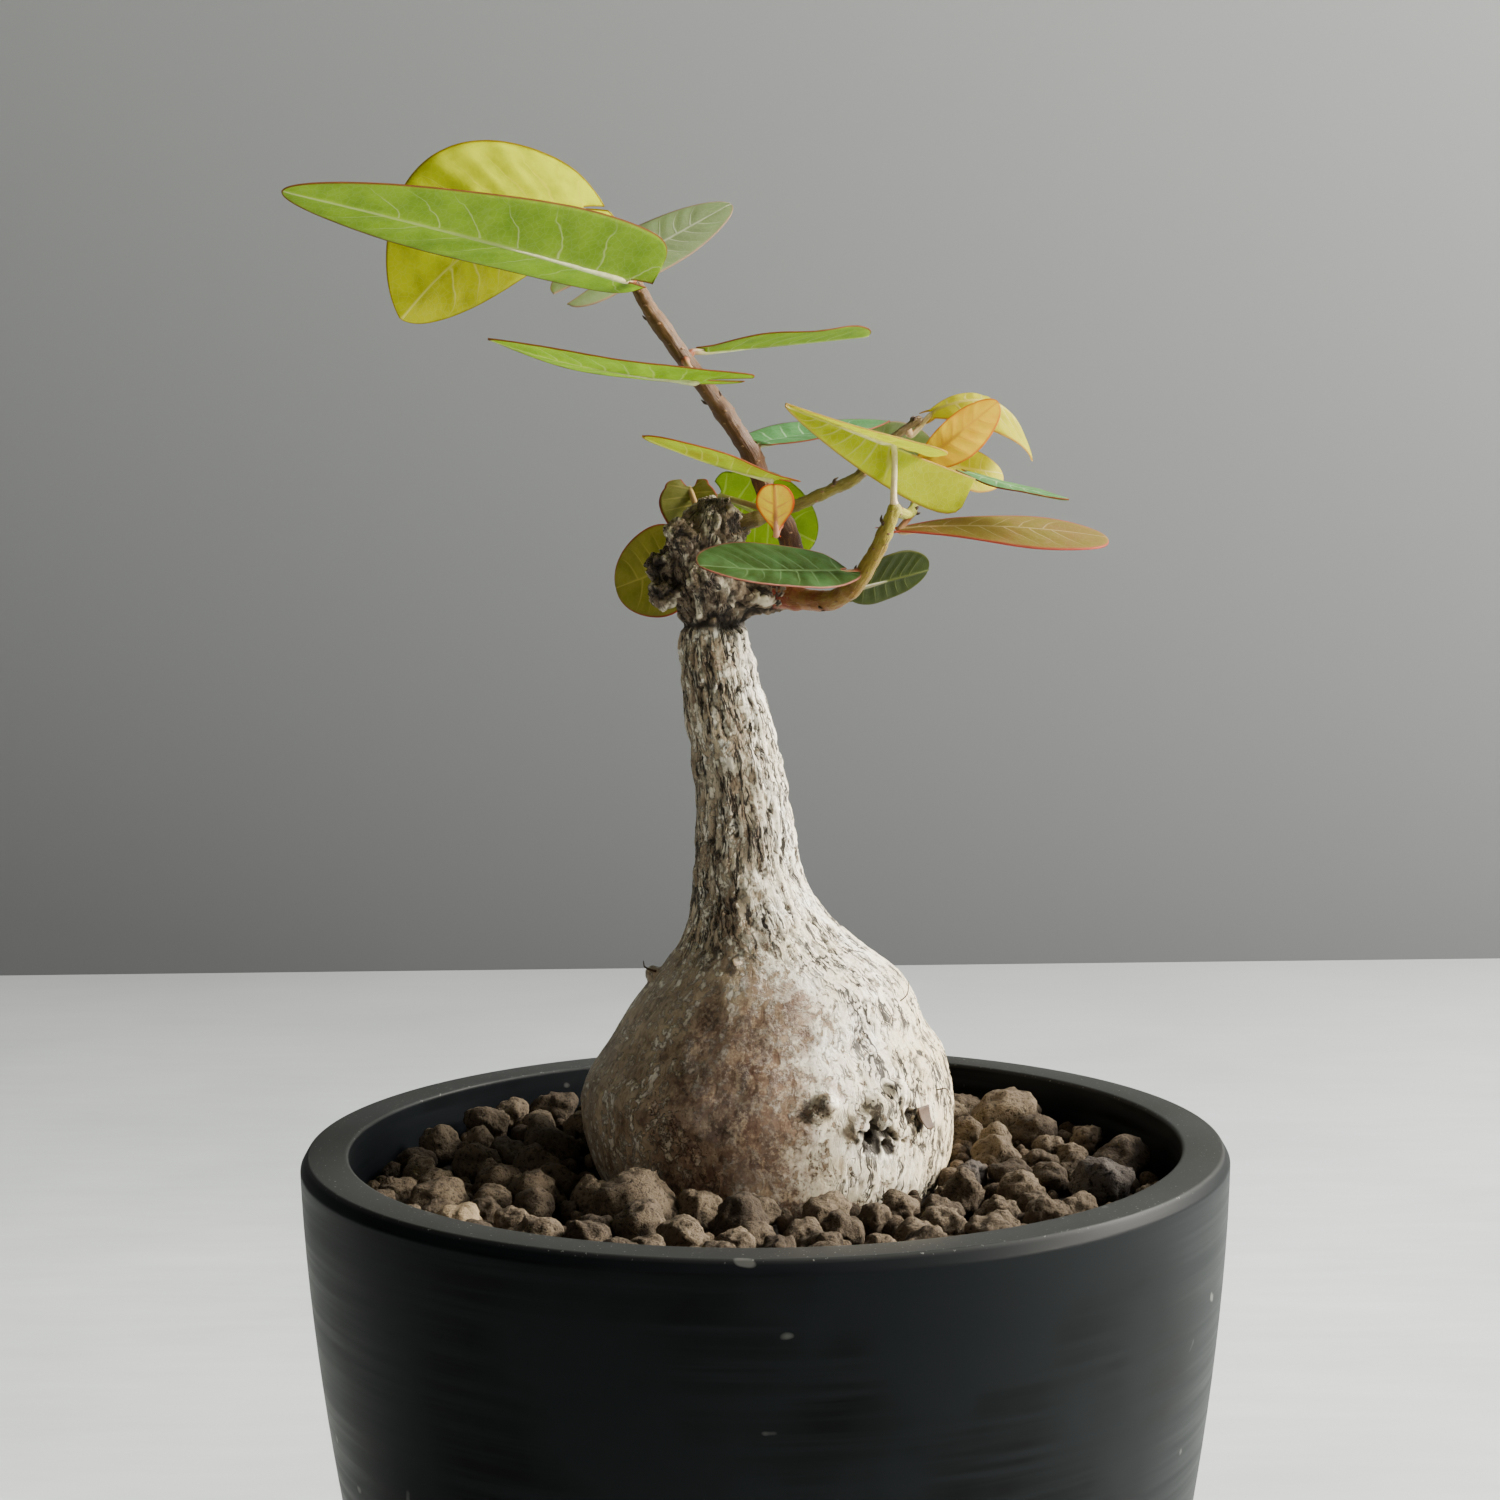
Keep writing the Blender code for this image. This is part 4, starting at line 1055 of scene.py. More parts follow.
# Dry flaking paper over tight skin: matt and crumbly on the trunk, faintly glossy low on the bulb
bark, tree = new_finish("papery_phyllanthus_bark")
at = add(tree, "TexCoord").outputs["Object"]
waver = add(tree, "TexNoise", [at, per(WAVER_MM), 2.0]).outputs["Color"]
waver = add(tree, "VectorMath", [waver, (0.5, 0.5, 0.5)], operation="SUBTRACT")
waver = add(tree, "VectorMath", {"Vector": waver, "Scale": WAVER_BY_MM}, operation="SCALE")
along = add(tree, "Attribute", attribute_name="grain").outputs["Vector"]
along = add(tree, "VectorMath", [along, waver], operation="ADD")
made = {"to_window": add(tree, "SeparateXYZ", [at]).outputs["X"]}
for label, names in (
    ("zones", ("cream_light_zone", "purple_zone", "head_zone")), ("relief", ("deep", "crest", "rough_skin")),
):
    kept = add(tree, "Attribute", attribute_name=label).outputs["Vector"]
    made.update(zip(names, add(tree, "SeparateXYZ", [kept]).outputs))
for name, (with_grain, size_mm, squeeze, detail, rough) in BARK_NOISES.items():
    scale = (1 / size_mm, 1 / size_mm, squeeze / size_mm)
    where = add(tree, "Mapping", {"Vector": along, "Scale": scale}) if with_grain else at
    made[name] = add(tree, "TexNoise", [where, 1.0 if with_grain else per(size_mm), detail, rough])
for name, (source, *limits) in BARK_MASKS.items():
    made[name] = add(tree, "MapRange", [made[source], *limits])

# Cream paper shows where its flecks and scales pass what the zone asks for, and the zone asks for more on
# the window side as painted light
over = add(tree, "Math", [made["flecks"], made["scales"]], operation="ADD")
over = add(tree, "Math", [over, made["need"]], operation="SUBTRACT")
made["cream_here"] = add(tree, "MapRange", [over, -0.04, 0.05])
under = add(tree, "Math", [made["purple_zone"], made["edge"]], operation="ADD")
made["purple_here"] = add(tree, "MapRange", [under, 0.15, 1.05, 0.0, 0.95])
# Fissures are the middle line of a stretched noise, broken up and only on rough skin
crack = add(tree, "Math", [made["fissures"], 0.5], operation="SUBTRACT")
crack = add(tree, "MapRange", [add(tree, "Math", [crack], operation="ABSOLUTE"), 0.062, 0.03])
crack = add(tree, "Math", [crack, made["broken"]], operation="MULTIPLY")
crack = add(tree, "Math", [crack, made["splits"]], operation="MULTIPLY")
# Painted shade: the deep places and the fissures turn almost black together; in the fissures this is
# partly their dark inner bark too
crease_shade = add(tree, "Math", [made["sunk"], crack], operation="MAXIMUM")
made["crease_shade"] = add(tree, "Math", [crease_shade, 0.93], operation="MULTIPLY")
for name, (base, *layers) in BARK_TONES.items():
    tone = made.get(base, base)
    for mask, colour in layers:
        tone = add(tree, "Mix", [made[mask], tone, made.get(colour, colour)])
    made[name] = tone

lifted = add(tree, "Math", [made["cream_here"], crack], operation="SUBTRACT")
bumps = None
for height, distance, strength in (
    (lifted, 0.0003, 0.9), (made["fibres"], 0.00025, 0.5), (made["flecks"], 0.0002, 0.35),
):
    bumps = add(tree, "Bump", {
        "Height": height, "Distance": distance, "Strength": strength, "Normal": bumps,
    })
add(tree, "OutputMaterial", [add(tree, "BsdfPrincipled", {
    "Base Color": made["whole"], "Roughness": made["shine"], "IOR": 1.45, "Normal": bumps,
})])
skin.materials.clear()
skin.materials.append(bark)
seat(caudex, "bark", "caudex")

# %% [markdown]
# ## Shoots
#
# Three young shoots grow from the stump. Each is a tube along the CAD's own points, with a
# swollen node where each leaf starts, and skin that is a little uneven. A tree of Geometry Nodes
# scatters the lenticels, the pale corky pores of young bark, at an even spacing.

# %% Shoot sizes
SHOOTS = {
    "shoot_tall": (
        (3.4, 11.8, 147.8, 1.35), (4.0, 11.6, 149.4, 1.3), (3.4, 11.0, 152.2, 1.25),
        (1.8, 10.4, 155.4, 1.2), (0.6, 10.0, 158.0, 1.15), (-0.8, 9.0, 161.6, 1.1),
        (-2.8, 8.4, 164.8, 1.05), (-4.4, 8.0, 167.2, 1.05), (-8.2, 6.4, 172.4, 1.0),
        (-11.4, 5.2, 177.0, 0.9), (-12.6, 4.6, 179.0, 0.85), (-13.8, 4.6, 181.2, 0.75),
        (-15.2, 5.2, 184.0, 0.6), (-17.0, 6.4, 187.2, 0.5),
    ),
    "shoot_middle": (
        (-0.2, 13.4, 154.2, 0.85), (2.4, 14.0, 155.0, 0.75), (5.2, 14.0, 156.0, 0.7),
        (8.4, 14.0, 157.4, 0.7), (11.4, 14.0, 158.8, 0.65), (14.0, 14.4, 161.4, 0.6),
        (15.8, 15.0, 163.4, 0.5), (19.0, 16.4, 165.6, 0.4),
    ),
    "shoot_low": (
        (4.35, 10.8, 145.0, 1.3), (7.6, 8.0, 144.8, 1.2), (9.2, 6.0, 145.4, 1.1),
        (11.0, 4.0, 147.0, 1.05), (12.6, 2.0, 149.6, 0.95), (13.8, 0.4, 152.0, 0.85),
        (14.6, -0.4, 154.0, 0.8), (15.2, -0.2, 155.2, 0.7), (16.4, 2.4, 154.8, 0.55),
        (17.4, 6.0, 155.0, 0.5), (18.4, 9.0, 156.8, 0.45), (19.6, 11.0, 158.8, 0.4),
    ),
}
SHOOT_ROOTS = {
    "shoot_tall": (1.2, 12.0, 146.0, 1.6),
    "shoot_middle": (-2.6, 13.2, 153.4, 1.1),
    "shoot_low": (1.6, 11.8, 145.4, 1.6),
}
# Swollen nodes as shares of each shoot's length, with their extra radius
NODES = {
    "shoot_tall": ((0.06, 0.2), (0.24, 0.16), (0.42, 0.18), (0.55, 0.15), (0.70, 0.16), (0.86, 0.12)),
    "shoot_middle": ((0.12, 0.1), (0.45, 0.06), (0.78, 0.14), (0.97, 0.12)),
    "shoot_low": ((0.08, 0.2), (0.3, 0.12), (0.52, 0.12), (0.66, 0.2), (0.82, 0.08)),
}
NODE_SPREAD, SCAR_SPREAD, SCAR_AFTER = 0.018, 0.006, 0.026
SHOOT_SIDES, SHOOT_STEPS = 28, 12
TIP_RADIUS, END_RADIUS, END_LENGTH = 0.12, 0.08, 0.3


def shoot_swell(name):
    """How far a shoot's skin stands out at a point, in millimetres."""
    def swell(point, share):
        out_by = 0.1 * noise.noise(point * 1.1) + 0.07 * noise.noise(point * 2.7)
        for place, extra in NODES[name]:
            out_by += extra * math.exp(-(((share - place) / NODE_SPREAD) ** 2))
            out_by -= 0.35 * extra * math.exp(-(((share - place - SCAR_AFTER) / SCAR_SPREAD) ** 2))
        return out_by
    return swell


# %% [markdown]
# Shoot bark is thin and smooth with a dull shine. It is red-brown where it is oldest and turns
# olive or green towards the tip, with fine pale streaks along it.

# %% Shoot finish
MOTTLE_MM = 1.429
# The streaks repeat 16 times along a shoot and are 3.5 wide round it
STREAK_SHAPE = (16.0, 3.5, 3.5)


def shoot_finish(name, old, middle, young, streak):
    """Young bark: three colours from base to tip along the shoot, with pale streaks."""
    finish, tree = new_finish(name)
    place = add(tree, "Attribute", attribute_name="place").outputs["Vector"]
    place = add(tree, "SeparateXYZ", [place]).outputs
    at = add(tree, "TexCoord").outputs["Object"]
    shift = add(tree, "TexNoise", [at, per(MOTTLE_MM), 5.0, 0.65])
    shift = add(tree, "MapRange", [shift, 0.3, 0.7, -0.12, 0.12])
    share = add(tree, "Math", [place["X"], shift], operation="ADD", use_clamp=True)
    tones = add(tree, "ValToRGB", [share])
    tones.color_ramp.elements[0].color = linear(old)
    tones.color_ramp.elements[1].color = linear(young)
    tones.color_ramp.elements.new(0.5).color = linear(middle)
    line_at = add(tree, "CombineXYZ", [
        add(tree, "Math", [socket, by], operation="MULTIPLY") for socket, by in zip(place, STREAK_SHAPE)
    ])
    lines = add(tree, "TexNoise", [line_at, 1.0, 5.0, 0.7])
    pale = add(tree, "MapRange", [lines, 0.56, 0.68, 0.0, 0.45])
    dull = add(tree, "MapRange", [lines, 0.45, 0.32, 0.0, 0.5])
    tone = add(tree, "Mix", [dull, add(tree, "Mix", [pale, tones, streak]), "#2e1c12"])
    relief = add(tree, "Bump", {"Height": lines, "Distance": 0.0003, "Strength": 0.8})
    add(tree, "OutputMaterial", [add(tree, "BsdfPrincipled", {
        "Base Color": tone, "Roughness": 0.45, "IOR": 1.45, "Specular IOR Level": 0.3, "Normal": relief,
    })])
    return finish


shoot_skins = {
    # Thin, tight and a little glossy, red-brown like old wood below
    "shoot_tall": shoot_finish("red_brown_young_bark", "#42241a", "#58381a", "#7c5826", "#9a6c2e"),
    # Green shows through the skin, so the shoot looks alive in its middle
    "shoot_middle": shoot_finish("olive_young_bark", "#5e4c26", "#827834", "#5c4628", "#a39650"),
    # The youngest: a red foot and a fresh green end
    "shoot_low": shoot_finish("green_young_bark", "#7c3226", "#9a8636", "#aab43c", "#bcb468"),
}
# Dull cork dots, which give the eye a scale on the smooth bark
lenticel_cork, tree = new_finish("pale_lenticel_cork")
cork = add(tree, "BsdfPrincipled", {"Base Color": "#8e6a4a", "Roughness": 0.8})
add(tree, "OutputMaterial", [cork])

# %% Lenticel tree
lenticel_tree, given = grow_tree("lenticels", (
    ("Spacing", "Float", 0.0009), ("Length", "Float", 0.00022), ("Seed", "Int", 1),
    ("Finish", "Material", None),
))
dots = add(lenticel_tree, "DistributePointsOnFaces", {
    "Mesh": given["Geometry"], "Distance Min": given["Spacing"], "Density Max": 2500000.0,
    "Seed": given["Seed"],
}, distribute_method="POISSON").outputs
bead = add(lenticel_tree, "MeshIcoSphere", {"Radius": 1.0, "Subdivisions": 2})
length = add(lenticel_tree, "RandomValue", {"Min": 0.5, "Max": 1.2, "Seed": 4}, data_type="FLOAT")
length = add(lenticel_tree, "Math", [length, given["Length"]], operation="MULTIPLY")
width = add(lenticel_tree, "Math", [length, 0.55], operation="MULTIPLY")
height = add(lenticel_tree, "Math", [length, 0.35], operation="MULTIPLY")
beads = add(lenticel_tree, "InstanceOnPoints", {
    "Points": dots["Points"], "Instance": bead, "Rotation": dots["Rotation"],
    "Scale": add(lenticel_tree, "CombineXYZ", [length, width, height]),
})
beads = add(lenticel_tree, "RealizeInstances", [beads])
beads = add(lenticel_tree, "SetShadeSmooth", {"Geometry": beads, "Shade Smooth": True})
beads = add(lenticel_tree, "SetMaterial", {"Geometry": beads, "Material": given["Finish"]})
both = add(lenticel_tree, "JoinGeometry", [beads])
lenticel_tree.links.new(given["Geometry"], both.inputs[0])
add(lenticel_tree, "NodeGroupOutput", [both])

# %% Shoots
for number, (name, path) in enumerate(SHOOTS.items()):
    whole = curve_through((SHOOT_ROOTS[name], *path), SHOOT_STEPS)
    tip = whole[-1].copy()
    tip[3] = TIP_RADIUS
    whole.append(tip + (whole[-1] - whole[-2]).normalized() * END_LENGTH)
    whole[-1][3] = END_RADIUS
    verts, faces, places = tube(whole, SHOOT_SIDES, shoot_swell(name))
    shoot = face_out(mesh_piece(
        name.replace("shoot", "young_shoot"), verts, faces, shoot_skins[name], {"place": places},
    ))
    run_tree(shoot, lenticel_tree, {
        "Spacing": 0.0013, "Length": 0.00022, "Seed": 5 + number, "Finish": lenticel_cork,
    })
    seat(shoot, "shoot_bark", name)

# %% [markdown]
# At each node two tiny stipules stand beside the leaf's foot. They are papery points about a
# millimetre long that dry and stay, so a shoot never looks like a plain rod. A few short hairs of
# old root and a peeled flap of bark stand on the caudex in the same way.

# %% Stipules
STIPULE_LENGTH, STIPULE_RADIUS = 1.1, 0.22
STIPULE_SEED = 71
PAPER_MM = 0.625

# Dead brown paper, mottled dark, that makes the nodes look old and dry
dry_paper, tree = new_finish("dry_papery_stipule")
mottle = add(tree, "TexNoise", [add(tree, "TexCoord").outputs["Object"], per(PAPER_MM), 4.0])
tone = add(tree, "Mix", [mottle, "#20140e", "#644a34"])
add(tree, "OutputMaterial", [add(tree, "BsdfPrincipled", {"Base Color": tone, "Roughness": 0.7})])

draw = random.Random(STIPULE_SEED)
bodies = []
for name, path in SHOOTS.items():
    line = curve_through(path, SHOOT_STEPS)
    for place, _ in NODES[name]:
        k = min(max(round(place * (len(line) - 1)), 1), len(line) - 2)
        along = (Vector(line[k + 1][:3]) - Vector(line[k - 1][:3])).normalized()
        for turn in (draw.uniform(0, 6.28), draw.uniform(0, 6.28)):
            aside = along.orthogonal().normalized()
            aside = aside * math.cos(turn) + along.cross(aside) * math.sin(turn)
            foot = Vector(line[k][:3]) + aside * line[k][3] * 0.7
            length = STIPULE_LENGTH * draw.uniform(0.6, 1.2)
            bend = foot + (aside * 0.6 + along * 0.4) * length * 0.6
            tip = bend + (aside * 0.2 + along * 0.8) * length * 0.6
            rows = [(*foot, STIPULE_RADIUS), (*bend, STIPULE_RADIUS * 0.8), (*tip, 0.04)]
            bodies.append(tube(curve_through(rows, 4), 8)[:2])
stipules = face_out(mesh_piece("stipules", *together(bodies), dry_paper))
seat(stipules, "shoot_bark", *SHOOTS)

# %% Hairs and flap
HAIRS = (
    ((15.6, 6.0, 98.4, 0.09), (16.6, 5.8, 99.4, 0.07), (16.8, 5.6, 101.0, 0.03)),
    ((19.8, 3.6, 88.6, 0.08), (20.9, 3.4, 88.8, 0.06), (21.4, 3.2, 88.0, 0.03)),
    ((-12.6, 11.2, 101.4, 0.14), (-13.8, 10.6, 102.0, 0.1), (-14.0, 10.4, 102.8, 0.05)),
)
FLAP_FOOT = (17.2, 0.1, 87.6)
FLAP_OUTWARD, FLAP_SIDEWAYS = (0.82, -0.57, 0), (0.57, 0.82, 0)
FLAP_WIDTH, FLAP_LENGTH, FLAP_THICKNESS = 2.4, 2.6, 0.12
FLAP_ROWS, FLAP_COLUMNS = 8, 6


def flap_point(layer, row, column):
    """A point of the flap, which curls outwards and narrows towards its free end."""
    u, v = row / FLAP_ROWS, column / FLAP_COLUMNS - 0.5
    lift = 1.0 + 1.0 * u * u + FLAP_THICKNESS * layer
    width = FLAP_WIDTH * (1 - 0.45 * u * u)
    point = Vector(FLAP_FOOT) + Vector(FLAP_OUTWARD) * lift + Vector(FLAP_SIDEWAYS) * v * width
    point.z -= FLAP_LENGTH * u * (1 - 0.15 * abs(v))
    return point


across = FLAP_COLUMNS + 1
places = [(row, column) for row in range(FLAP_ROWS + 1) for column in range(across)]
flap_verts = [flap_point(layer, *place) for layer in (0, 1) for place in places]
flap_faces = []
for layer in (0, 1):
    for row, column in places:
        if row < FLAP_ROWS and column < FLAP_COLUMNS:
            a = layer * len(places) + row * across + column
            ring = [a, a + 1, a + across + 1, a + across]
            flap_faces.append(ring if layer else ring[::-1])
rim = [(0, c) for c in range(across)] + [(r, FLAP_COLUMNS) for r in range(1, FLAP_ROWS + 1)]
rim += [(FLAP_ROWS, c) for c in range(FLAP_COLUMNS - 1, -1, -1)]
rim = [row * across + column for row, column in rim + [(r, 0) for r in range(FLAP_ROWS - 1, 0, -1)]]
flap_faces += [[a, b, b + len(places), a + len(places)] for a, b in zip(rim, rim[1:] + rim[:1])]
bodies = [tube(curve_through(rows, 4), 8)[:2] for rows in HAIRS]
flap = face_out(mesh_piece("peeled_bark_bits", *together([*bodies, (flap_verts, flap_faces)]), dry_paper))
seat(flap, "bark", "caudex")

# %% [markdown]
# ## Leaves
#
# A leaf is a thin blade, folded a little along its midrib, on a short stalk. Its outline is a sine
# that is blunted at both ends, and two small lobes stand behind the stalk. The blade is built as
# a sheet in its own coordinates, share along and share across, then given two skins, a raised
# midrib below and soft quilting between its side veins. The same coordinates are kept for the
# shader, which draws the veins and the red margin.

# %% Leaf shapes
# base and tip are the blade's two ends, width is across both halves, roll turns the blade about
# its length, folds lift its halves in degrees, arch lifts its middle, and attach is the share of
# its length behind the stalk. Lopsided leaves have halves, lobes, opening and inset, as the CAD
# does. quilt and wave shape the surface in millimetres, and veins counts the pairs of side veins.
# What a leaf doesn't name is as in LEAF_USUAL.
LEAF_USUAL = dict(
    roll=0, arch=0.0, attach=0.08, quilt=0.08, wave=0.12, veins=7,
    halves=(1, 1), lobes=(1, 1), opening=0, inset=0.22,
)
LEAVES = {
    "leaf_tall_1": dict(
        on="shoot_tall", look="leaf_green", base=(-10.2, 0.6, 179.8), tip=(-48.0, -28.0, 188.8),
        width=17.0, roll=-29, folds=(13, 13), arch=0.5, attach=0.12, widest=0.56, round_ends=(0.42, 0.5),
        quilt=0.12, halves=(0.7, 0.85), lobes=(0.6, 0.65), opening=22, inset=0.05),
    "leaf_tall_2": dict(
        on="shoot_tall", look="leaf_yellow", base=(-16.8, 4.4, 189.2), tip=(-41.0, 12.0, 177.6),
        width=22.0, roll=-40, folds=(15, 25), arch=6.0, attach=0.12, widest=1.2, round_ends=(0.28, 0.5),
        quilt=0.3, halves=(0.85, 1.02), inset=0.03),
    "leaf_tall_3": dict(
        on="shoot_tall", look="leaf_sage", base=(-22.8, 16.0, 179.8), tip=(-3.0, 31.0, 191.7),
        width=10.5, roll=-38, folds=(5, 0), attach=0.25, widest=0.9, round_ends=(0.5, 0.5),
        halves=(0.75, 0.85)),
    "leaf_tall_4": dict(
        on="shoot_tall", look="leaf_green", base=(-1.0, 1.4, 169.8), tip=(-29.0, -10.0, 174.4),
        width=11.0, roll=-4, folds=(4, 12), arch=-1.2, attach=0.2, widest=0.8, round_ends=(0.5, 0.8),
        quilt=0.1, halves=(1.0, 0.8)),
    "leaf_tall_5": dict(
        on="shoot_tall", look="leaf_green", base=(-7.6, 7.8, 173.4), tip=(13.2, 22.0, 175.6),
        width=12.0, roll=4, folds=(12, 8), widest=1.2, round_ends=(0.6, 0.6), wave=0.35),
    "leaf_tall_6": dict(
        on="shoot_tall", look="leaf_lime", base=(4.2, 5.0, 158.4), tip=(-12.4, -8.0, 163.8),
        width=7.6, folds=(10, 10), arch=-0.5, attach=0.16, widest=1.5, round_ends=(0.5, 0.6),
        quilt=0.06, halves=(1.1, 1.0)),
    "leaf_tall_7": dict(
        on="shoot_tall", look="leaf_fresh", base=(-0.5, 10.8, 162.8), tip=(15.6, 21.0, 165.4),
        width=10.0, folds=(0, 18), attach=0.05, widest=0.75, round_ends=(0.35, 0.8), quilt=0.06),
    "leaf_tall_8": dict(
        on="shoot_tall", look="leaf_orange", base=(2.0, 7.0, 152.2), tip=(1.8, 5.0, 158.2),
        width=4.4, folds=(10, 10), attach=0.05, widest=1.7, round_ends=(0.9, 0.35), quilt=0.05, veins=4),
    "leaf_stump_1": dict(
        on="stump_upper", look="leaf_olive", base=(-8.4, 27.0, 158.6), tip=(-6.6, 22.0, 150.6),
        width=9.0, folds=(5, 25), attach=0.12, widest=0.8, round_ends=(0.5, 0.6), veins=6,
        halves=(1.0, 0.68), lobes=(1.0, 0.8)),
    "leaf_stump_2": dict(
        on="stump_lower", look="leaf_olive", base=(-7.0, 24.0, 149.6), tip=(-17.4, 28.0, 145.6),
        width=11.5, roll=75, folds=(5, 5), attach=0.1, widest=0.9, round_ends=(0.5, 0.45), veins=6),
    "leaf_middle_1": dict(
        on="shoot_middle", look="leaf_bright", base=(-5.6, 19.0, 157.4), tip=(6.6, 17.0, 151.4),
        width=10.6, roll=80, folds=(4, 4), attach=0.1, widest=1.0, round_ends=(0.45, 0.45), veins=6),
    "leaf_middle_2": dict(
        on="shoot_middle", look="leaf_sage", base=(11.4, 21.4, 161.7), tip=(20.6, 21.4, 162.7),
        width=8.0, roll=-50, folds=(3, 3), widest=1.0, round_ends=(0.5, 0.5), quilt=0.05, veins=5),
    "leaf_middle_3": dict(
        on="shoot_middle", look="leaf_amber", base=(19.4, 17.0, 165.8), tip=(31.9, 22.0, 162.2),
        width=13.0, roll=-35, folds=(0, -18), arch=4.2, attach=0.06, widest=1.6, round_ends=(0.5, 0.3),
        quilt=0.1, veins=6, halves=(1.0, 0.85)),
    "leaf_low_1": dict(
        on="shoot_low", look="leaf_deep_green", base=(11.4, 2.8, 148.5), tip=(-6.4, -14.0, 149.8),
        width=14.0, roll=30, folds=(6, 8), arch=-0.4, attach=0.13, widest=0.95, round_ends=(0.6, 0.5),
        quilt=0.1, halves=(0.8, 0.6), lobes=(0.4, 0.85), inset=0.05),
    "leaf_low_2": dict(
        on="shoot_low", look="leaf_dark_olive", base=(10.2, 8.0, 146.1), tip=(19.9, 18.0, 147.9),
        width=7.4, roll=62, folds=(3, 3), attach=0.1, widest=0.95, round_ends=(0.45, 0.45),
        quilt=0.06, veins=6, halves=(1.0, 0.82)),
    "leaf_low_3": dict(
        on="shoot_low", look="leaf_pink", base=(13.4, 6.0, 152.8), tip=(40.0, 9.0, 151.6),
        width=11.0, roll=-18, folds=(0, 0), arch=0.9, attach=0.1, widest=1.8, round_ends=(0.7, 0.4),
        quilt=0.06),
    "leaf_low_4": dict(
        on="shoot_low", look="leaf_straw", base=(24.8, 6.6, 158.8), tip=(3.0, -8.0, 166.8),
        width=9.4, roll=-70, folds=(0, -62), attach=0.45, widest=0.38, round_ends=(0.46, 0.75),
        halves=(1.1, 1.0), lobes=(1.0, 0.4), inset=0.04),
    "leaf_low_5": dict(
        on="shoot_low", look="leaf_peach", base=(18.9, 12.6, 160.3), tip=(27.6, 10.6, 167.3),
        width=6.4, roll=-70, folds=(3, 3), widest=1.0, round_ends=(0.5, 0.45),
        quilt=0.1, veins=6, halves=(1.0, 0.75)),
    "leaf_low_6": dict(
        on="shoot_low", look="leaf_amber", base=(20.8, 15.0, 160.2), tip=(29.0, 22.0, 159.0),
        width=6.0, roll=-60, folds=(3, 3), widest=1.0, round_ends=(0.5, 0.45), quilt=0.06, veins=5),
    "leaf_low_7": dict(
        on="shoot_low", look="leaf_fresh", base=(23.2, 12.4, 159.6), tip=(35.2, 5.6, 156.2),
        width=7.0, folds=(3, 3), arch=-0.3, widest=1.0, round_ends=(0.6, 0.6), quilt=0.05, veins=6),
}
LEAVES = {name: {**LEAF_USUAL, **leaf} for name, leaf in LEAVES.items()}
STUMP_POINTS = {
    "stump_upper": ((-5.6, 13.0, 153.6), 4.5),
    "stump_lower": ((-6.4, 13.0, 147.6), 5.45),
}
BLADE_HALF_THICKNESS, EDGE_HALF_THICKNESS = 0.16, 0.07
EDGE_THINS_OVER = 1.6
RIB_DIP, RIB_DIP_REACH = 0.4, 0.8
WAVE_RATE = 9.5
BLADE_DROOP = 0.05
RIB_DEPTH, RIB_HALF_WIDTH = 0.3, 0.3
LOBE_ROWS, BLADE_ROWS = 8, 64
ACROSS = (0.0, 0.04, 0.09, 0.16, 0.25, 0.35, 0.46, 0.58, 0.7, 0.81, 0.91, 1.0)

# Where the side veins leave the midrib, as shares of the blade from the stalk on, and how far
# each has run towards the tip when it meets the margin
VEIN_FIRST, VEIN_LAST = 0.02, 0.84
VEIN_LEANS = ((0.0, -0.10), (0.1, 0.04), (0.25, 0.12), (0.45, 0.18), (0.8, 0.16), (1.0, 0.05))


# %% Leaf coordinates
def leaf_frame(leaf):
    """The blade's base, length, and its three directions: along, across and up."""
    base, tip = Vector(leaf["base"]), Vector(leaf["tip"])
    along = (tip - base).normalized()
    across = along.cross(Vector((0, 0, 1))).normalized()
    up = across.cross(along)
    turn = math.radians(leaf["roll"])
    across, up = (
        across * math.cos(turn) + up * math.sin(turn),
        up * math.cos(turn) - across * math.sin(turn),
    )
    return base, (tip - base).length, along, across, up


def rib_point(leaf, share):
    """A point on the middle of the blade, at a share of its length from the base."""
    base, length, along, _, up = leaf_frame(leaf)
    return base + along * length * share + up * leaf["arch"] * 4 * share * (1 - share)


def half_width(leaf, side, share):
    """Width of one half of the blade at a share of its length."""
    start, end = leaf["round_ends"]
    swell = math.sin(math.pi * min(max(share, 0.0), 1.0) ** leaf["widest"])
    half = leaf["width"] / 2 * leaf["halves"][side]
    return half * max(swell, 0.0) ** (start + (end - start) * share)


def vein_field(leaf, side, share, across):
    """Vein number, half past a whole one on each side vein, and the veins' spacing in mm."""
    body = 1 - leaf["attach"]
    pitch = (VEIN_LAST - VEIN_FIRST) / leaf["veins"]
    roots = np.linspace(-0.4, 1.0, 57)
    ends = roots + np.interp(roots, *zip(*VEIN_LEANS)) * across**1.3
    root = float(np.interp((share - leaf["attach"]) / body, ends, roots))
    number = (root - VEIN_FIRST) / pitch + 0.5 + 0.4 * side
    length = (Vector(leaf["tip"]) - Vector(leaf["base"])).length * body
    return min(max(number, 0.0), leaf["veins"] + 0.0), pitch * length


def blade_rows(attach):
    """Shares along the blade, close together at both round ends."""
    behind = [attach * (k / LOBE_ROWS) ** 2 for k in range(LOBE_ROWS)]
    turns = [math.pi / 2 * k / BLADE_ROWS for k in range(BLADE_ROWS + 1)]
    return behind + [attach + (1 - attach) * math.sin(turn) for turn in turns]


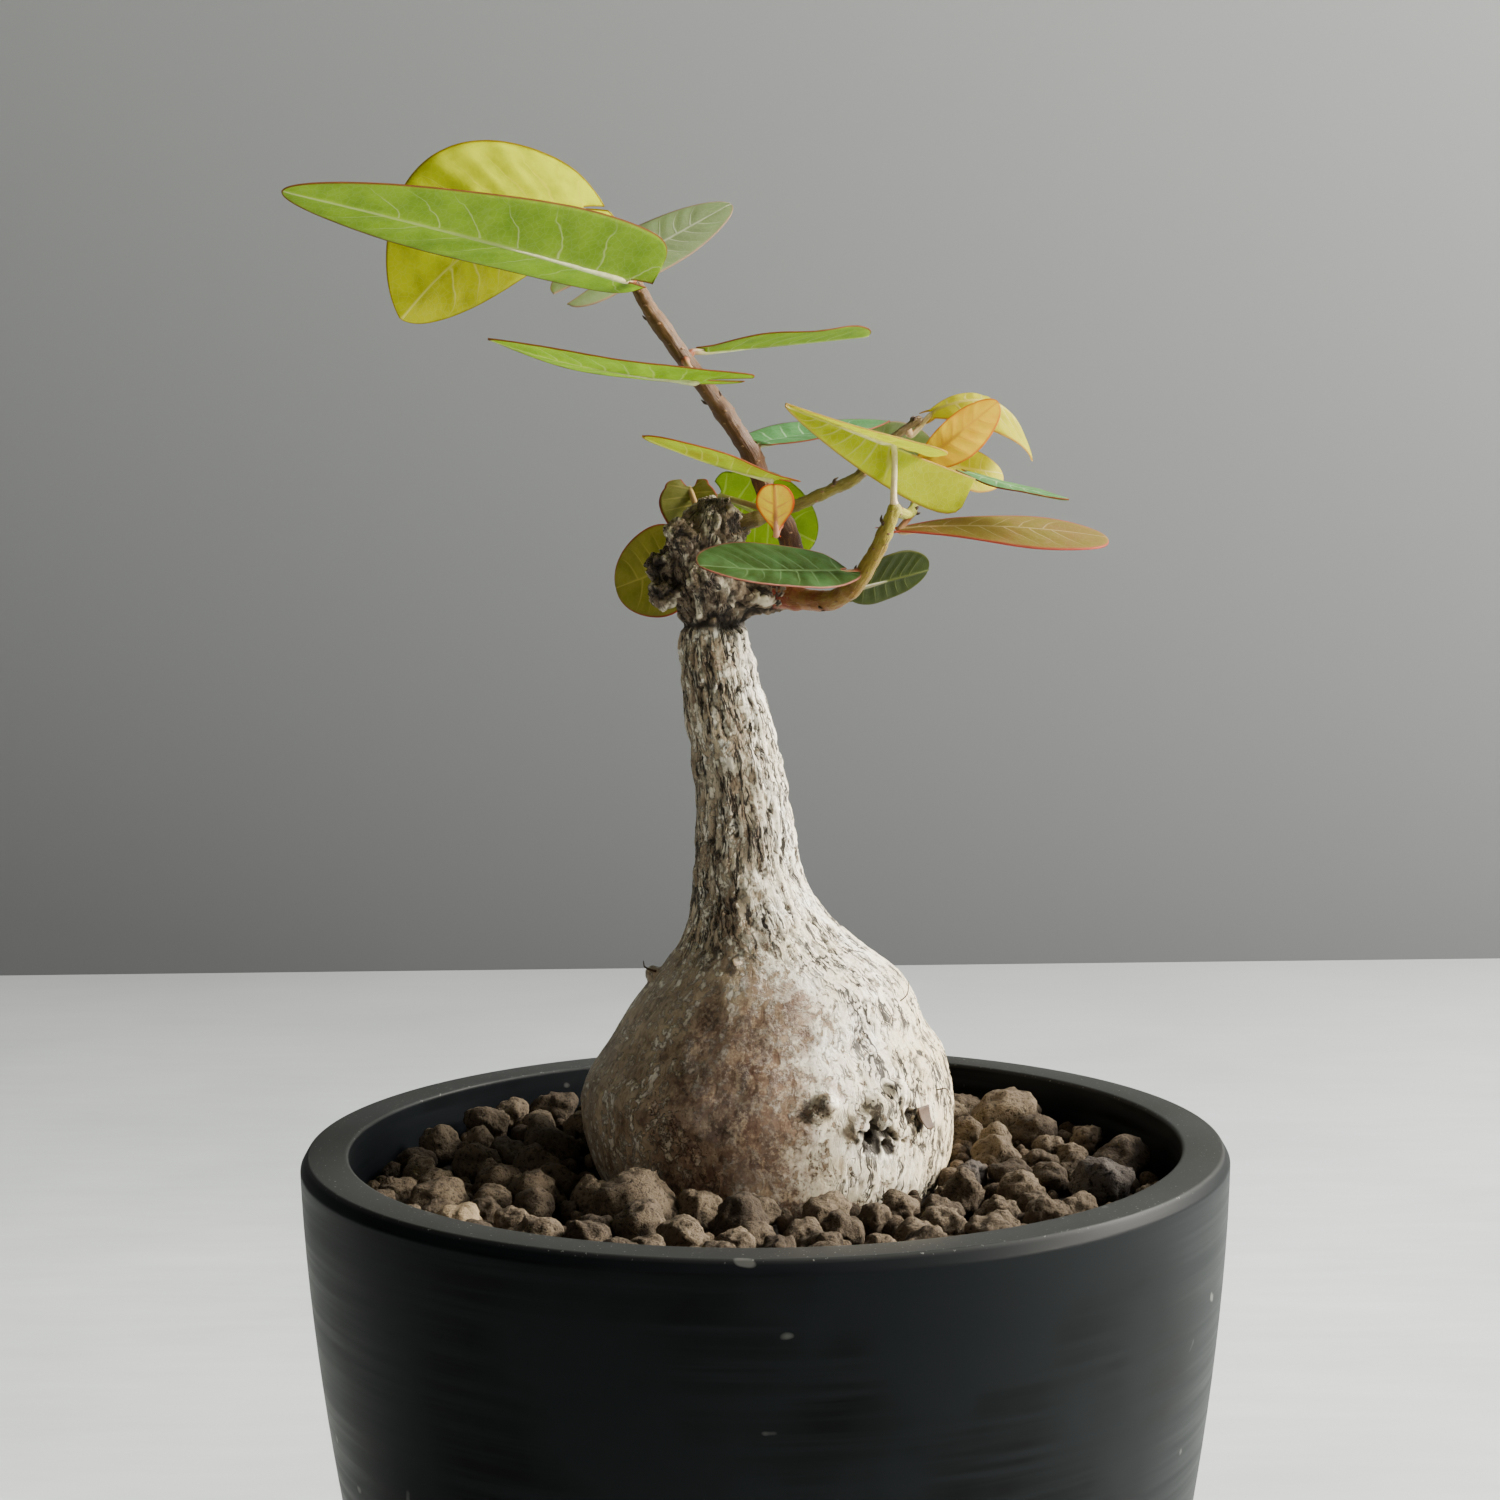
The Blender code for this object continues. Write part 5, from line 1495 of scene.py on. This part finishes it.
# %% Leaf blade
def blade_point(leaf, own, side, v):
    """A point of the sheet and its values, at a share of the length and a share v across."""
    _, _, _, across, up = leaf_frame(leaf)
    attach, sign = leaf["attach"], (1, -1)[side]
    lobe_start = leaf["inset"] * leaf["width"] / 2
    share = own if own >= attach else attach - leaf["lobes"][side] * (attach - own)
    fold = math.radians(leaf["folds"][side] + leaf["opening"] * (0.5 - share))
    way = across * sign * math.cos(fold) + up * math.sin(fold)
    lift = up * math.cos(fold) - across * sign * math.sin(fold)
    behind = max(1 - own / attach, 0.0)
    inner = lobe_start * math.sqrt(behind)
    outer = max(lobe_start * behind + half_width(leaf, side, own), inner)
    reach = inner + (outer - inner) * v
    number, spacing = vein_field(leaf, side, share, v)
    height = -math.sin(fold) * RIB_DIP * math.exp(-reach / RIB_DIP_REACH)
    ripple = math.sin(WAVE_RATE * share + leaf["width"] + side)
    height += leaf["wave"] * ripple * v * v * math.sin(math.pi * share)
    quilt = math.cos(2 * math.pi * number) * v * (1 - v) * 4
    height += leaf["quilt"] * quilt * max(math.sin(math.pi * share), 0.0) ** 0.5
    height -= BLADE_DROOP * outer * v * v
    margin = outer - reach
    if own < attach:
        margin = min(margin, reach - inner)
    point = rib_point(leaf, share) + way * reach + lift * height
    return point, (share, v * sign, 0.0), (reach, margin, 0.0), (number, spacing, 0.0)


def blade_sheet(leaf):
    """The blade as an open sheet that carries its coordinates, and the layers that hold them."""
    work = bmesh.new()
    layers = [work.verts.layers.float_vector.new(label) for label in ("blade", "edge", "vein")]
    known = {}

    def put(row, own, side, column):
        key = (row, side if column or own < leaf["attach"] else 0, column)
        if key not in known:
            point, *values = blade_point(leaf, own, side, ACROSS[column])
            known[key] = work.verts.new(point)
            for layer, value in zip(layers, values):
                known[key][layer] = value
        return known[key]

    shares = list(enumerate(blade_rows(leaf["attach"])))
    loops = []
    for side in (0, 1):
        for low, high in zip(shares, shares[1:]):
            for column in range(len(ACROSS) - 1):
                corners = ((low, column), (high, column), (high, column + 1), (low, column + 1))
                loop = [put(*row, side, k) for row, k in corners]
                loops.append(loop if side == 0 else loop[::-1])
    for loop in loops:
        if len(set(loop)) > 2:
            work.faces.new(loop)
    bmesh.ops.remove_doubles(work, verts=work.verts, dist=0.002)
    bmesh.ops.dissolve_degenerate(work, edges=work.edges, dist=0.0005)
    work.verts.ensure_lookup_table()
    work.verts.index_update()
    work.normal_update()
    return work, layers


def blade_mesh(leaf):
    """Points, faces and shader values of a leaf's blade, as one closed thin body."""
    work, (layer_place, layer_edge, layer_vein) = blade_sheet(leaf)
    attach, up = leaf["attach"], leaf_frame(leaf)[-1]
    verts, values, sides, lines = [], [], [], []
    number = len(work.verts)
    facing = 1 if sum((face.normal.dot(up) for face in work.faces), 0.0) > 0 else -1
    for upper in (1, 0):
        for corner in work.verts:
            reach, margin, _ = corner[layer_edge]
            inwards = rise(margin, 0.0, EDGE_THINS_OVER)
            thick = EDGE_HALF_THICKNESS + (BLADE_HALF_THICKNESS - EDGE_HALF_THICKNESS) * inwards
            share = corner[layer_place][0]
            if not upper and share > attach * 0.8:
                taper = 1 - 0.75 * share
                thick += RIB_DEPTH * taper * math.exp(-((reach / (RIB_HALF_WIDTH * taper + 0.05)) ** 2))
            way = corner.normal * facing
            verts.append(corner.co + way * (thick if upper else -thick))
            values.append(tuple(corner[layer_place]))
            sides.append((reach, margin, float(upper)))
            lines.append(tuple(corner[layer_vein]))
    faces = []
    for face in work.faces:
        ring = [corner.index for corner in face.verts][::facing]
        faces += [ring, [k + number for k in ring[::-1]]]
    for edge in work.edges:
        if len(edge.link_faces) == 1:
            ring = [corner.index for corner in edge.link_faces[0].verts]
            a, b = edge.verts[0].index, edge.verts[1].index
            if (ring[(ring.index(a) + 1) % len(ring)] != b) != (facing < 0):
                a, b = b, a
            faces.append([b, a, a + number, b + number])
    work.free()
    return verts, faces, values, sides, lines


# %% Leaf stalk
STALK_SIDES, STALK_STEPS = 14, 6
STALK_DROP = 0.28
# Radius inside the stem, at its skin, just outside it and under the blade's foot
STALK_RADII = (0.56, 0.48, 0.37, 0.34)
# Under the blade: share of the way to the tip, depth below the midrib and radius
STALK_UNDER_BLADE = ((0.12, 0.26, 0.29), (0.3, 0.22, 0.22), (0.5, 0.16, 0.14))


def stalk_start(leaf):
    """Centre, radius and direction of the stem where the leaf's stalk grows."""
    target = rib_point(leaf, leaf["attach"])
    if leaf["on"] in STUMP_POINTS:
        centre, radius = STUMP_POINTS[leaf["on"]]
        return Vector(centre), radius, Vector((0, 0, 1))
    path = curve_through(SHOOTS[leaf["on"]], 2)
    nearest = min(path[1:-1], key=lambda row: (Vector(row[:3]) - target).length)
    k = path.index(nearest)
    along = (Vector(path[k + 1][:3]) - Vector(path[k - 1][:3])).normalized()
    return Vector(nearest[:3]), nearest[3], along


def stalk_mesh(leaf):
    """Points and faces of the stalk, from inside the stem to under the blade's midrib."""
    up = leaf_frame(leaf)[-1]
    attach = leaf["attach"]
    target = rib_point(leaf, attach) - up * STALK_DROP
    centre, radius, stem = stalk_start(leaf)
    way = target - centre
    way = (way - stem * way.dot(stem)).normalized()
    lead = centre + way * (radius + 0.5) + (target - centre) * 0.1
    places = (centre + way * radius * 0.5, centre + way * (radius + 0.15), lead, target)
    path = [(*place, size) for place, size in zip(places, STALK_RADII)]
    for share, drop, size in STALK_UNDER_BLADE:
        path.append((*(rib_point(leaf, attach + (1 - attach) * share) - up * drop), size))
    return tube(curve_through(path, STALK_STEPS), STALK_SIDES)


# %% [markdown]
# The blade's finish has three parts. The upper skin is bluish green and the lower skin paler, so
# the mesh says which is which. Light that falls on the far side comes through warmer, which a
# translucent shader adds. Side veins curve towards the tip in pairs, the midrib is pale, and a
# thin red line runs round the margin. A leaf's wax gives a soft shine at an IOR of about 1.4.

# %% Leaf finish
LOOKS = {
    # name: (upper, lower, through, vein, margin, patch, share of light let through)
    "leaf_green": ("#4f8344", "#93b042", "#c0dc28", "#dbe2a6", "#8f4a32", "#6f9434", 0.6),
    "leaf_lime": ("#6d9a34", "#a6b83a", "#c6d424", "#dcdc8e", "#a04a30", "#a8923a", 0.6),
    "leaf_bright": ("#74983a", "#93aa3c", "#b4cc3a", "#cfdc8e", "#7d8a34", "#7f9a34", 0.6),
    "leaf_fresh": ("#5f9c62", "#7f9a44", "#8cb03a", "#b9d6a8", "#a04a3c", "#568a4c", 0.4),
    "leaf_deep_green": ("#2a3e14", "#52662a", "#74882a", "#647f50", "#94584a", "#53804a", 0.3),
    "leaf_yellow": ("#bab006", "#b6b60e", "#f0f600", "#eee98a", "#a88a2c", "#9aa00a", 0.66),
    "leaf_amber": ("#ccc828", "#d0cc1e", "#f4f200", "#f0e69a", "#d8a860", "#bcb41e", 0.6),
    "leaf_straw": ("#8fb07e", "#ccd01c", "#ecf400", "#eeea9a", "#d2b060", "#b8b81e", 0.6),
    "leaf_peach": ("#f0d858", "#f2dc5c", "#ffec30", "#ecc878", "#e08a40", "#eeb448", 0.6),
    "leaf_sage": ("#7f9670", "#a9b388", "#c4cf8e", "#cdd2b4", "#b28f78", "#929c76", 0.5),
    "leaf_orange": ("#f2de58", "#f2de58", "#fff652", "#e2a078", "#dd5a34", "#f0a048", 0.55),
    "leaf_olive": ("#6e7038", "#7c7c48", "#a09c5a", "#a8a05a", "#a8463c", "#6e7020", 0.5),
    "leaf_dark_olive": ("#202a02", "#2e3a08", "#606e0e", "#5c6426", "#54561e", "#2f3f0e", 0.35),
    "leaf_pink": ("#86803f", "#988a4a", "#bb9c4c", "#c9b483", "#c8584e", "#a87c54", 0.45),
}
LOOK_SLOTS = {
    "leaf_lime": "leaf_green", "leaf_bright": "leaf_green", "leaf_fresh": "leaf_deep_green",
    "leaf_amber": "leaf_yellow", "leaf_straw": "leaf_yellow", "leaf_peach": "leaf_orange",
    "leaf_dark_olive": "leaf_olive",
}
PALE_STALKS = {
    "leaf_amber": "#d9b58e", "leaf_straw": "#e2c9a0", "leaf_fresh": "#c07a5c", "leaf_sage": "#a9a56a",
}
USUAL_STALK = "#a8603f"
VEIN_HALF_MM = 0.07
# The net's cells are about three times a real leaf's, which are too fine to show in the render
WOBBLE_MM, BLOTCH_MM, NET_MM, STALK_MM = 3.125, 3.03, 0.77, 0.667
MARGIN_MM = {"leaf_orange": 0.35, "leaf_pink": 0.5}
USUAL_MARGIN_MM = 0.26


def blade_finish(name, upper_tone, lower_tone, through, vein_tone, margin_tone, patch, light):
    """Leaf blade: skins, patches, side veins, midrib, margin and the light that comes through."""
    finish, tree = new_finish(name.replace("leaf", "waxy_leaf_blade"))
    at = add(tree, "TexCoord").outputs["Object"]
    kept = []
    for label in ("blade", "edge", "vein"):
        vector = add(tree, "Attribute", attribute_name=label).outputs["Vector"]
        kept.append(add(tree, "SeparateXYZ", [vector]).outputs)
    (share, across, _), (reach, margin, upper), (number, spacing, _) = kept

    # Side veins: thin lines where the vein number is half past a whole one, thinner outwards
    outwards = add(tree, "Math", [across], operation="ABSOLUTE")
    wobble = add(tree, "MapRange", [add(tree, "TexNoise", [at, per(WOBBLE_MM), 2.0]), 0.0, 1.0, -0.2, 0.2])
    away = add(tree, "Math", [number, wobble], operation="ADD")
    away = add(tree, "Math", [away], operation="FRACT")
    away = add(tree, "Math", [away, 0.5], operation="SUBTRACT")
    away = add(tree, "Math", [away], operation="ABSOLUTE")
    away = add(tree, "Math", [away, spacing], operation="MULTIPLY")
    width = add(tree, "MapRange", [outwards, 0.0, 1.0, 3.2 * VEIN_HALF_MM, VEIN_HALF_MM])
    vein = add(tree, "MapRange", [away, 0.02, width, 1.0, 0.0])
    fade = add(tree, "MapRange", [outwards, 0.5, 0.95, 0.9, 0.15])
    vein = add(tree, "Math", [vein, fade], operation="MULTIPLY")
    rib_width = add(tree, "MapRange", [share, 0.0, 1.0, 0.42, 0.12])
    rib = add(tree, "MapRange", [reach, 0.05, rib_width, 1.0, 0.0])
    lines = add(tree, "Math", [vein, rib], operation="MAXIMUM")
    lines = add(tree, "Math", [lines, 0.8], operation="MULTIPLY")

    # Soft patches, a net of the finest veins, and the margin
    patchy = add(tree, "TexNoise", [at, per(BLOTCH_MM), 5.0, 0.6])
    patchy = add(tree, "MapRange", [patchy, 0.42, 0.72, 0.0, 0.55])
    cells = add(tree, "TexVoronoi", {"Vector": at, "Scale": per(NET_MM)}, feature="DISTANCE_TO_EDGE")
    net = add(tree, "MapRange", [cells, 0.0, 0.1, 0.13, 0.0])
    fine = add(tree, "Math", [lines, net], operation="MAXIMUM")
    rim_width = MARGIN_MM.get(name, USUAL_MARGIN_MM)
    red = add(tree, "MapRange", [margin, 0.2 * rim_width, rim_width, 0.9, 0.0])
    skin_tone = add(tree, "Mix", [upper, lower_tone, upper_tone])
    glow = through
    for mask, colour in ((patchy, patch), (fine, vein_tone), (red, margin_tone)):
        skin_tone = add(tree, "Mix", [mask, skin_tone, colour])
        glow = add(tree, "Mix", [mask, glow, colour])

    relief = add(tree, "Bump", {"Height": fine, "Distance": 0.00012, "Strength": 0.35})
    shell = add(tree, "BsdfPrincipled", {
        "Base Color": skin_tone, "Roughness": 0.5, "IOR": 1.4, "Specular IOR Level": 0.12,
        "Normal": relief,
    })
    lit = add(tree, "BsdfTranslucent", {"Color": glow, "Normal": relief})
    add(tree, "OutputMaterial", [add(tree, "MixShader", [light, shell, lit])])
    return finish


def stalk_finish(name, stalk, blade_tone):
    """A leaf stalk: reddish at the stem, running into the midrib's colour under the blade."""
    finish, tree = new_finish(name.replace("leaf", "stalk_skin"))
    place = add(tree, "Attribute", attribute_name="blade").outputs["Vector"]
    change = add(tree, "MapRange", [add(tree, "SeparateXYZ", [place]), 0.25, 0.6, 0.0, 1.0])
    dim = add(tree, "TexNoise", [add(tree, "TexCoord").outputs["Object"], per(STALK_MM), 3.0])
    dim = add(tree, "MapRange", [dim, 0.4, 0.7, 0.0, 0.3])
    tone = add(tree, "Mix", [dim, add(tree, "Mix", [change, stalk, blade_tone]), "#9a6a4c"])
    shell = add(tree, "BsdfPrincipled", {"Base Color": tone, "Roughness": 0.45, "IOR": 1.4})
    add(tree, "OutputMaterial", [shell])
    return finish


# Each blade is waxy and thin: a soft sheen from in front, and bright, warmer colour where the
# window is behind it. Each stalk is smooth and fleshy, with a dull gloss.
leaf_finishes = {
    name: (blade_finish(name, *look), stalk_finish(name, PALE_STALKS.get(name, USUAL_STALK), look[3]))
    for name, look in LOOKS.items()
}

# %% Leaves
# On a stalk there is no margin and no side vein, so it keeps values far from both
STALK_EDGE, STALK_VEIN = (0.0, 5.0, 0.0), (0.0, 1.0, 0.0)

for name, leaf in LEAVES.items():
    verts, faces, places, edges, veins = blade_mesh(leaf)
    stalk_verts, stalk_faces, stalk_places = stalk_mesh(leaf)
    blade_skin, stalk_skin = leaf_finishes[leaf["look"]]
    piece = mesh_piece(
        name.replace("leaf", "blade"), *together([(verts, faces), (stalk_verts, stalk_faces)]), blade_skin,
        {
            "blade": places + stalk_places,
            "edge": edges + [STALK_EDGE] * len(stalk_verts),
            "vein": veins + [STALK_VEIN] * len(stalk_verts),
        },
    )
    piece.data.materials.append(stalk_skin)
    piece.data.polygons.foreach_set("material_index", [0] * len(faces) + [1] * len(stalk_faces))
    seat(piece, LOOK_SLOTS.get(leaf["look"], leaf["look"]), name)
